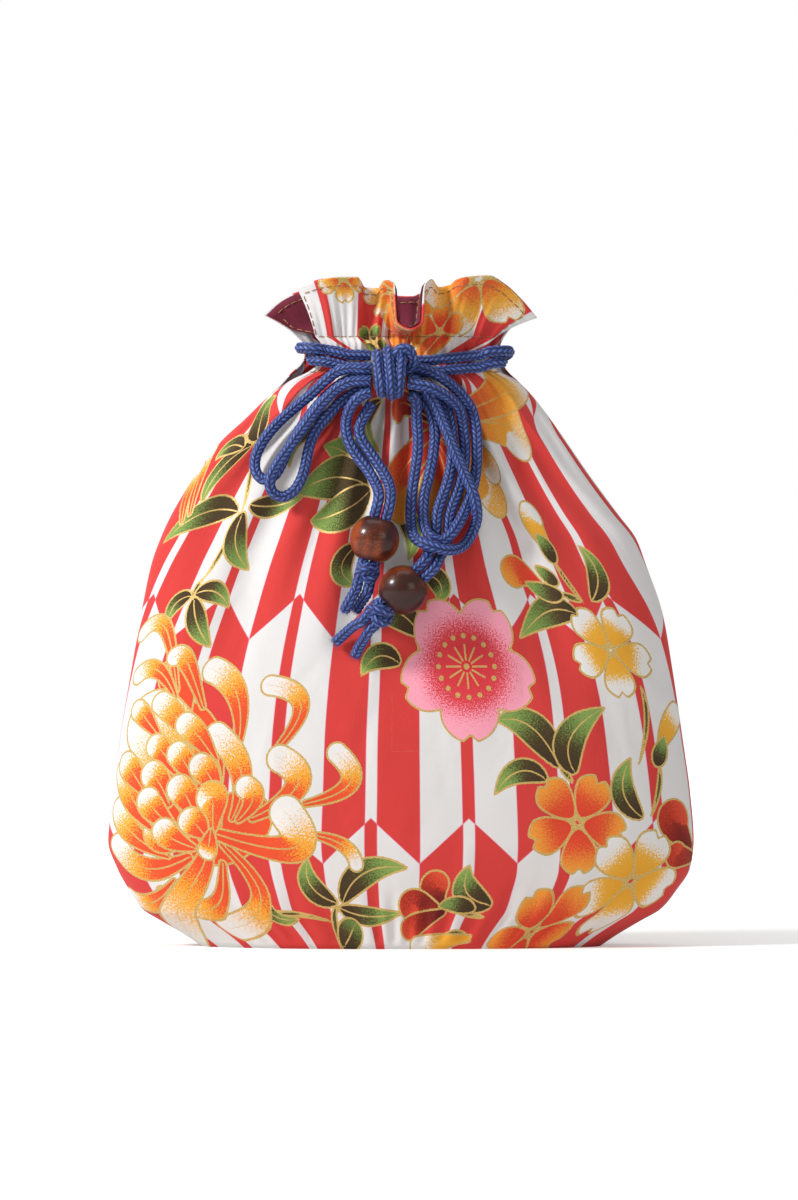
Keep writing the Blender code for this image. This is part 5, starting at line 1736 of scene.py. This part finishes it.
@dataclass(frozen=True)
class ClothPanels:
    """Outer panels and linings as thin closed sheets."""

    form: PouchForm

    def shell(self, name: str, outside: Array, inside: Array, finish: Finish, flip: bool) -> Piece:
        """Closes a fine outer grid and every second point of an inner one into one sheet.

        Args:
            name: piece name.
            outside: fine grid of the visible face.
            inside: inner grid at every second row and column.
            finish: cloth material.
            flip: turns the faces over, for the panel whose grid runs the other way.

        Returns:
            The piece.
        """
        rows, columns = outside.shape[0] - 1, outside.shape[1] - 1
        first = (rows + 1) * (columns + 1)
        groups = [grid_faces(rows, columns, 0, flip),
                  grid_faces(rows // 2, columns // 2, first, not flip)]
        fine = np.arange(first).reshape(rows + 1, columns + 1)
        coarse = first + np.arange(inside[..., 0].size).reshape(inside.shape[:2])
        edges = ((fine[0], coarse[0], False), (fine[-1], coarse[-1], True),
                 (fine[:, 0], coarse[:, 0], True), (fine[:, -1], coarse[:, -1], False))
        bands = []
        for near, far, turned in edges:
            a, b, c, d, e = near[:-1:2], near[1::2], near[2::2], far[:-1], far[1:]
            band = np.concatenate([np.stack(corners, 1) for corners in ((a, d, b), (b, d, e), (b, e, c))])
            bands.append(band[:, ::-1] if turned != flip else band)
        groups.append(np.concatenate(bands))
        points = np.vstack([outside.reshape(-1, 3), inside.reshape(-1, 3)])
        return new_piece(name, points, groups, finish)

    def outer_panel(self, side: Side, finish: Finish) -> Piece:
        """Printed outer panel.

        Args:
            side: which panel.
            finish: printed cloth.

        Returns:
            The piece, with its cloth coordinates and printed shapes kept for the material.
        """
        form, back = self.form, side is Side.BACK
        outside, cloth = form.outer(side, ROWS, COLUMNS)
        inside = outside + form.inward(outside, side, cloth[:, 0, 1]) * form.cloth_thickness
        inside = inside[::2, ::2]
        piece = self.shell(f"outer_{side.name.lower()}_cloth", outside, inside, finish, back)
        store(piece, "cloth", np.vstack([cloth.reshape(-1, 3), cloth[::2, ::2].reshape(-1, 3)]))
        sheet = PrintSheet(form, cloth[:, :, :2].reshape(-1, 2), back)
        sheet.draw()
        sheet.store_on(piece, inside[..., 0].size)
        return piece

    def lining_panel(self, side: Side, finish: Finish) -> Piece:
        """Plain lining.

        Args:
            side: which panel.
            finish: plain cloth.

        Returns:
            The piece, with its cloth coordinates kept for the material.
        """
        form = self.form
        outside, cloth = form.lining(side, ROWS // 4 * 2, COLUMNS // 4 * 2)
        inside = outside + form.inward(outside, side, cloth[:, 0, 1]) * form.lining_thickness
        piece = self.shell(f"lining_{side.name.lower()}_cloth", outside, inside[::2, ::2], finish,
                           side is Side.BACK)
        store(piece, "cloth", np.vstack([cloth.reshape(-1, 3), cloth[::2, ::2].reshape(-1, 3)]))
        return piece

    def build(self) -> None:
        printed = PrintedCotton().material("printed_woven_cotton")
        plain = WovenCotton().material("dyed_woven_cotton")
        for side in Side:
            outer = self.outer_panel(side, printed)
            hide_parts(f"outer_{side.name.lower()}_panel")
            lining = self.lining_panel(side, plain)
            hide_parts(f"lining_{side.name.lower()}_panel")
            for piece in (outer, lining):
                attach(piece, "pouch")
                log.info("cloth: %s", piece.name)


@dataclass(frozen=True)
class StitchRows:
    """Lockstitch rows of the casing and of the header's hem, one short thread for each stitch."""

    form: PouchForm
    length: float = 0.0024
    gap: float = 0.0007
    radius: float = 0.00019
    casing_levels: Span = (207.3, 219.6)
    hem_level: float = 241.2
    hem_columns: int = 6
    threads: tuple[tuple[str, str, bool], ...] = (
        ("rim_and_casing_stitches", "#A9744C", True), ("lining_stitches", "#C79A4A", False))

    def stitches(self, path: Array, way: Array) -> tuple[Array, Array]:
        """Splits a line on the cloth into stitches whose ends dip into it.

        Args:
            path: points of the row on the cloth's face.
            way: outward directions there.

        Returns:
            Centres and outward directions of five rings for each stitch.
        """
        reach = lengths(path)
        start = np.arange(self.gap, reach[-1] - self.length, self.length + self.gap)
        at = start[:, None] + self.length * np.array([0, 0.12, 0.5, 0.88, 1])[None]
        centre, out = read_line(at, reach, path), read_line(at, reach, way)
        lift = self.radius * np.array([-0.7, 0.5, 0.9, 0.5, -0.7])[None, :, None]
        return centre + out * lift, out

    def build(self) -> None:
        """Makes one piece for the outer rows and one for the lining's rows."""
        radius, n = self.radius * np.array([0.5, 1, 1, 1, 0.5]), self.hem_columns
        rows: dict[bool, list[tuple[Array, Array]]] = {True: [], False: []}
        for side in Side:
            grid, cloth = self.form.outer(side, ROWS, COLUMNS)
            heights = cloth[:, 0, 1]
            inner = self.form.inward(grid, side, heights)
            levels = [int(np.argmin(np.abs(heights - level)))
                      for level in self.casing_levels + (self.hem_level,)]
            _, foot, hem = levels
            for row in levels:
                rows[True].append(self.stitches(grid[row, n:-n], -inner[row, n:-n]))
            for column in (n, -n - 1):
                rows[True].append(self.stitches(grid[foot:hem, column], -inner[foot:hem, column]))
            grid, cloth = self.form.lining(side, ROWS, COLUMNS)
            inner = self.form.inward(grid, side, heights)
            face = grid + inner * self.form.lining_thickness
            rows[False].append(self.stitches(face[hem, n:-n], inner[hem, n:-n]))
            for column in (n, -n - 1):
                rows[False].append(self.stitches(face[foot:hem, column], inner[foot:hem, column]))
        for name, colour, outer in self.threads:
            lines, way = (np.concatenate(group) for group in zip(*rows[outer]))
            thread = GiltThread(colour).material(f"sewing_thread_{name}")
            piece = bundle(name, lines, way, radius, 6, thread)
            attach(piece, "pouch")
            log.info("stitches: %s, %d", name, len(lines))


@dataclass(frozen=True)
class FrayedEnd:
    """Loose fibres at the cut end of a cord."""

    braid: Braid
    fibres: int = 60
    length: float = 0.0017
    radius: float = 0.00006
    chance: float = 0.16
    spread: float = 0.42
    sunk: float = 0.0003

    def build(self, name: str, end: Array, along: Array, finish: Finish, seed: int) -> None:
        """Fans fibres out of a cord's end.

        They start on even golden-angle spirals over the cut and bend outward with the square of
        their length, with some chance in length and direction.

        Args:
            name: piece name.
            end: middle of the cut.
            along: direction out of the cord.
            finish: cord material.
            seed: start of the chance numbers.
        """
        chance = np.random.default_rng(seed)
        number = np.arange(self.fibres)
        angle = number * math.pi * (3 - math.sqrt(5))
        share = np.sqrt((number + 0.5) / self.fibres)
        first = unit(np.cross(along, (0.0, 1.0, 0.01)))
        out = np.cos(angle)[:, None] * first + np.sin(angle)[:, None] * np.cross(along, first)
        t = np.linspace(0, 1, 5)[None, :, None]
        length = self.length * chance.uniform(0.5, 1.0, (self.fibres, 1, 1))
        bend = out[:, None] * share[:, None, None] * 0.5 + chance.normal(0, self.chance,
                                                                         (self.fibres, 1, 3))
        spread = share * self.spread * self.braid.diameter
        root = end + out[:, None] * spread[:, None, None] - along * self.sunk
        lines = root + along * t * length + bend * t ** 2 * length
        way = np.broadcast_to(out[:, None], lines.shape)
        piece = bundle(name, lines, way, self.radius * np.array([1, 1, 0.9, 0.7, 0.3]), 3, finish)
        store(piece, "braid", np.tile([0.75, 0.0, 0.0], (len(piece.data.vertices), 1)))
        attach(piece, "pouch")


@dataclass(frozen=True)
class CordWork:
    """Both cords as ten lengths of braid: two rings round the neck, four loops and four pendants."""

    routes: CordRoutes
    braid: Braid = Braid()
    fray_seed: int = 16

    def lay_cord(self, name: str, points: Sequence[Array], reference: Point,
                 finish: Finish, nodes: Sequence[str]) -> Array:
        """Args:
            name: piece name.
            points: places that the cord passes.
            reference: direction that the cord never runs along.
            finish: cord material.
            nodes: CAD solids that it stands for.

        Returns:
            Even points of its centreline.
        """
        path = smooth_route(points, self.braid.step)
        piece = self.braid.tube(name, path, reference, finish)
        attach(piece, "pouch")
        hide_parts(*nodes)
        log.info("cord: %s, %.0f mm", name, path_length(path) / MM)
        return path

    def build(self, finish: Finish, pieces: dict[str, Piece]) -> None:
        """Lays every length, each pendant through its bead's bore and past its end knot.

        Args:
            finish: cord material.
            pieces: beads and end knots by name; not used.
        """
        routes, near = self.routes, self.routes.strand_offset
        for hand in Hand:
            side = hand.name.lower()
            nodes = [f"{side}_{part}" for part in ("cord_in_casing", "neck_strand_upper",
                                                   "neck_strand_lower")]
            self.lay_cord(f"{side}_neck_cord", routes.ring(hand), (0, 0, 1), finish, nodes)
        loops = (("left_outer_loop", routes.left_outer_loop),
                 ("left_inner_loop", routes.left_inner_loop),
                 ("right_inner_loop", routes.right_inner_loop),
                 ("right_outer_loop", routes.right_outer_loop))
        for name, route in loops:
            self.lay_cord(f"{name}_cord", routes.loop(route), (0, -1, 0), finish, (name,))
        ends = ((Hand.LEFT, "a", routes.left_pendant_a, "a", routes.left_tail_a, -near),
                (Hand.LEFT, "b", routes.left_pendant_b, "b", routes.left_tail_b, near),
                (Hand.RIGHT, "a", routes.right_pendant_a, "b", routes.right_tail_b, near),
                (Hand.RIGHT, "b", routes.right_pendant_b, "a", routes.right_tail_a, -near))
        for hand, label, route, tail_label, tail, offset in ends:
            side = hand.name.lower()
            nodes = [f"{side}_pendant_strand_{label}", f"{side}_tail_{tail_label}"]
            path = self.lay_cord(f"{side}_pendant_{label}_cord",
                                 routes.pendant(hand, route, tail, offset), (0, -1, 0), finish,
                                 nodes)
            FrayedEnd(self.braid).build(f"{side}_fray_{label}", path[-1], unit(path[-1] - path[-4]),
                                        finish, self.fray_seed + ord(label) + hand.value)


@dataclass(frozen=True)
class BowKnot:
    """Bow knot: three turns drawn tight round the strands, and a bight that stands up behind them.

    A turn gives its place in knot widths, its rise, its half-sizes out and up, and its tilt in
    degrees. The bight gives across, out and up from the knot's centre. Both are in cord pitches.
    """

    routes: CordRoutes
    braid: Braid = Braid()
    turns: Table = ((-0.3, 0, 1.42, 1.7, -7), (0.01, 0.05, 1.56, 1.98, -5),
                    (0.31, -0.05, 1.42, 1.66, 5))
    bight: Table = ((0.2, 0.3, 0.4), (0.5, 0.8, 1.4), (0.95, 1, 2.1), (1.62, 0.95, 2.12),
                    (2.05, 0.6, 1.4), (1.9, 0, 0.6), (1.2, -0.4, 0.1))
    heart: Span = (1.4, 1.75)
    heart_share: float = 0.97
    heart_reach: float = 0.48
    around: int = 96
    lean: float = math.radians(14.0)
    squareness: float = 3.0

    def section(self, angle: Array, out: float, up: float,
                share: Union[Array, float] = 1.0) -> tuple[Array, Array]:
        """Rounded square of the knot in its middle plane, leant back about X.

        Cosine and sine are taken to the power two over the squareness, with their signs kept, and
        multiplied by the half-sizes.

        Args:
            angle: angles round the section.
            out: half-size out from the cloth in cord pitches.
            up: half-size up in cord pitches.
            share: share of the half-sizes.

        Returns:
            Depth and height in metres.
        """
        power, pitch = 2 / self.squareness, self.routes.sizes.pitch
        y, z = (np.sign(wave) * np.abs(wave) ** power * half * pitch * share
                for wave, half in ((np.cos(angle), out), (np.sin(angle), up)))
        cosine, sine = math.cos(self.lean), math.sin(self.lean)
        return y * cosine + z * sine, z * cosine - y * sine

    def turn_path(self, place: float, rise: float, out: float, up: float, tilt: float) -> Array:
        """Closed line of one turn of cord round the knot: its section, tilted about Y.

        Args:
            place: share of the knot's width from its middle.
            rise: height above the knot's centre in cord pitches.
            out: half-size out from the cloth in cord pitches.
            up: half-size up in cord pitches.
            tilt: degrees about Y.

        Returns:
            Even points, without the first one repeated.
        """
        sizes, turn = self.routes.sizes, math.radians(tilt)
        y, z = self.section(np.linspace(0, 2 * math.pi, 721), out, up)
        line = np.stack([z * math.sin(turn) + place * sizes.bow_knot_width, y,
                         z * math.cos(turn) + rise * sizes.pitch], 1)
        return even_line(line + self.routes.knot_centre(), self.braid.step)

    def core(self, name: str, finish: Finish) -> Piece:
        """Heart of the knot: a rounded block of packed braid that fills the turns, coloured all in the
        braid's dark groove tone as painted shade between the turns.

        Its section is the same rounded square a little inside the turns, times the cosine of the
        angle towards each end to a quarter's power, and its places across follow the sine.

        Args:
            name: piece name.
            finish: cord material.

        Returns:
            The piece.
        """
        turn = circle(self.around)[None]
        t = np.linspace(-math.pi / 2, math.pi / 2, 41)[:, None]
        y, z = self.section(turn, *self.heart, self.heart_share * np.cos(t) ** 0.25)
        x = np.sin(t) * self.routes.sizes.bow_knot_width * self.heart_reach + 0 * turn
        points = np.stack([x, y, z], 2) + self.routes.knot_centre()
        rows, around = points.shape[:2]
        ends = [np.arange(around)[None, ::-1], ((rows - 1) * around + np.arange(around))[None]]
        piece = new_piece(name, points.reshape(-1, 3), [ring_faces(rows, around)] + ends, finish)
        # A low braid height paints the whole heart in the dark groove tone: painted shade between the
        # turns
        store(piece, "braid", np.tile([0.25, 0.0, 0.0], (rows * around, 1)))
        return piece

    def build(self, finish: Finish) -> None:
        """Makes the turns, the bight and the heart of the knot.

        Args:
            finish: cord material.
        """
        bight = np.array(self.bight) * [1, -1, 1] * self.routes.sizes.pitch
        bight = smooth_route(bight + self.routes.knot_centre(), self.braid.step)
        made = [self.braid.tube(f"bow_knot_turn_{number}", self.turn_path(*turn), (1, 0, 0), finish,
                                closed=True) for number, turn in enumerate(self.turns)]
        made.append(self.braid.tube("bow_knot_bight", bight, (0, -1, 0), finish))
        for piece in made:
            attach(piece, "pouch")
            log.info("knot: %s", piece.name)
        core = self.core("bow_knot_heart", finish)
        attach(core, "pouch")
        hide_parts("bow_knot")


@dataclass(frozen=True)
class BeadEnd:
    """One bead on its two strands, with the knot below it."""

    routes: CordRoutes
    hand: Hand
    braid: Braid = Braid()
    grain_and_light_move: float = 7.0
    swing_share: float = 0.34
    wall_rings: int = 61
    bore_rings: int = 12
    around: int = 96

    def frame_axes(self) -> tuple[Array, Array, Array]:
        """Directions up the bore, across it and out to the side."""
        up, across = self.routes.bead_axes(self.hand)
        return up, across, np.cross(up, across)

    def bead(self, finish: Finish) -> Piece:
        """Turned bead with a rounded mouth to its bore.

        From mouth to mouth it is part of a ball: the height is the ball's radius times the sine
        and the radius is that times the cosine. The bore closes the wall from inside.

        Args:
            finish: bead material.

        Returns:
            The piece, with millimetres in its own frame, moved sideways for each hand, kept for the grain
            and for the painted light on its left side.
        """
        sizes = self.routes.sizes
        up, across, side = self.frame_axes()
        mouth = math.asin(sizes.bead_length / sizes.bead_diameter)
        angle = np.linspace(-mouth, mouth, self.wall_rings)
        bore = np.linspace(1, -1, self.bore_rings + 2)[1:-1] * sizes.bead_length / 2
        height = np.concatenate([sizes.bead_diameter / 2 * np.sin(angle), bore])
        radius = np.concatenate([sizes.bead_diameter / 2 * np.cos(angle),
                                 np.full_like(bore, sizes.bore_radius)])
        turn = circle(self.around)
        out = across * np.cos(turn)[:, None] + side * np.sin(turn)[:, None]
        points = height[:, None, None] * up + radius[:, None, None] * out[None]
        points = (points + self.routes.bead_centre(self.hand)).reshape(-1, 3)
        piece = new_piece(f"{self.hand.name.lower()}_wooden_bead", points,
                          [ring_faces(len(height), len(turn), True)], finish)
        # The sideways move shifts both the grain and the painted light, so the left bead is painted paler
        # than the right
        local = np.stack(np.broadcast_arrays(
            (radius[:, None] * np.cos(turn)) / MM + self.grain_and_light_move * self.hand.value,
            (radius[:, None] * np.sin(turn)) / MM, height[:, None] / MM), 2)
        store(piece, "turned", local.reshape(-1, 3))
        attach(piece, f"{self.hand.name.lower()}_bead")
        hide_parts(f"{self.hand.name.lower()}_bead")
        return piece

    def end_knot(self, finish: Finish) -> Piece:
        """Overhand knot: a closed trefoil of braid about the bead's axis.

        It goes twice round the axis, while the radius swings three times as a cosine and the
        height three times as a sine, so the cord crosses itself three times.

        Args:
            finish: cord material.

        Returns:
            The piece.
        """
        sizes = self.routes.sizes
        up, across, side = self.frame_axes()
        radius = self.hand.pick(sizes.left_knot_radius, sizes.right_knot_radius)
        swing = self.swing_share * (radius - sizes.diameter / 2)
        mean = radius - sizes.diameter / 2 - swing
        tall = (sizes.end_knot_length - sizes.diameter) / 2
        t = np.linspace(0, 2 * math.pi, 1441)
        reach = mean + swing * np.cos(3 * t)
        line = (reach * np.cos(2 * t))[:, None] * across + (reach * np.sin(2 * t))[:, None] * side
        line = line + (tall * np.sin(3 * t))[:, None] * up
        drop = sizes.bead_length / 2 + sizes.piece_gap + sizes.end_knot_length / 2
        line = line + self.routes.bead_centre(self.hand) - up * drop
        path = even_line(line, self.braid.step)
        piece = self.braid.tube(f"{self.hand.name.lower()}_overhand_knot", path, up, finish, closed=True)
        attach(piece, "pouch")
        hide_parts(f"{self.hand.name.lower()}_end_knot")
        return piece


@dataclass(frozen=True)
class Studio:
    """Plain pale floor, three soft boxes, an even world and the camera of the photograph.

    A soft box gives its name, its place, the length of its sides in metres and its watts.
    """

    aside: float = -0.0007
    front: float = 0.008
    middle: float = 0.1249
    distance: float = 2.4
    frame_height: float = 0.432
    sensor: float = 36.0
    aim_height: float = 0.10
    floor_reach: float = 3.0
    paper: str = "#F2F2F0"
    world_level: float = 0.33
    soft_boxes: tuple[tuple[str, Point, float, float], ...] = (
        ("key_box", (-1.6, -0.85, 1.3), 0.45, 41.0), ("fill_box", (1.2, -1.4, 0.7), 0.9, 4.0),
        ("top_box", (0.0, 0.3, 1.6), 1.2, 6.0))

    def camera(self) -> None:
        """Camera straight in front, with the photograph's frame at its focal distance."""
        data = bpy.data.cameras.new("photo_camera")
        data.sensor_fit = "VERTICAL"
        data.sensor_height = self.sensor
        data.lens = self.sensor * self.distance / self.frame_height
        data.clip_end = 20.0
        camera = bpy.data.objects.new("photo_camera", data)
        camera.location = (self.aside, -self.distance - self.front, self.middle)
        camera.rotation_euler = (math.pi / 2, 0, 0)
        bpy.context.scene.collection.objects.link(camera)
        bpy.context.scene.camera = camera

    def lamp(self, name: str, place: Point, size: float, power: float) -> None:
        """Soft box that faces the pouch.

        Args:
            name: lamp name.
            place: where it stands.
            size: length of its sides in metres.
            power: watts.
        """
        data = bpy.data.lights.new(name, "AREA")
        data.shape = "SQUARE"
        data.size = size
        data.energy = power
        lamp = bpy.data.objects.new(name, data)
        x, y, z = place
        lamp.location = place
        across, drop = math.hypot(x, y), z - self.aim_height
        lamp.rotation_euler = (math.atan2(across, drop), 0, math.atan2(x, -y))
        bpy.context.scene.collection.objects.link(lamp)

    def floor(self) -> None:
        """Pale floor that keeps the shadow under the pouch and turns white further out."""
        made, tree, shader = new_material("pale_paper")
        rays = add_node(tree, "LightPath").outputs["Is Camera Ray"]
        place = add_node(tree, "TexCoord").outputs["Object"]
        away = add_node(tree, "VectorMath", {0: place}, operation="LENGTH").outputs["Value"]
        glow = add_node(tree, "MapRange", {0: away, 1: 0.10, 2: 0.70, 3: 0.26, 4: 0.85})
        feed(tree, shader, {
            "Base Color": linear(self.paper), "Roughness": 0.9, "Specular IOR Level": 0.1,
            "Emission Color": (1, 1, 1, 1),
            "Emission Strength": calc(tree, "Math", "MULTIPLY", rays, glow.outputs[0])})
        points = self.floor_reach * np.array([(-1, -1, 0), (1, -1, 0), (1, 1, 0), (-1, 1, 0)])
        floor = new_piece("paper_floor", points, [np.array([[0, 1, 2, 3]])], made, False)

    def world(self) -> None:
        """Even light from all round, and plain white where the camera looks past."""
        world = bpy.data.worlds.new("studio")
        bpy.context.scene.world = world
        world.use_nodes = True
        tree, level = world.node_tree, self.world_level
        rays = add_node(tree, "LightPath").outputs["Is Camera Ray"]
        seen = calc(tree, "Math", "MULTIPLY_ADD", rays, 1 - level, level)
        feed(tree, tree.nodes["Background"], {"Color": (1, 1, 1, 1), "Strength": seen})

    def build(self) -> None:
        """Sets up camera, lights, floor and world."""
        scene = bpy.context.scene
        scene.view_settings.view_transform = "Standard"
        self.camera()
        for box in self.soft_boxes:
            self.lamp(*box)
        self.floor()
        self.world()
        log.info("studio")


def main() -> None:
    """Builds every sub-assembly in order."""
    logging.basicConfig(level=logging.INFO, format="%(message)s")
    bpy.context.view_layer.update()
    form = PouchForm()
    routes = CordRoutes(form)
    braided = BraidedPolyester().material("braided_polyester")
    wood = LacqueredWood().material("turned_lacquered_wood")
    Studio().build()
    pieces: dict[str, Piece] = {}
    for hand in Hand:
        end = BeadEnd(routes, hand)
        pieces[f"{hand.name.lower()}_bead"] = end.bead(wood)
        pieces[f"{hand.name.lower()}_end_knot"] = end.end_knot(braided)
        log.info("bead and knot: %s", hand.name.lower())
    CordWork(routes).build(braided, pieces)
    BowKnot(routes).build(braided)
    ClothPanels(form).build()
    StitchRows(form).build()


if __name__ == "__main__":
    main()
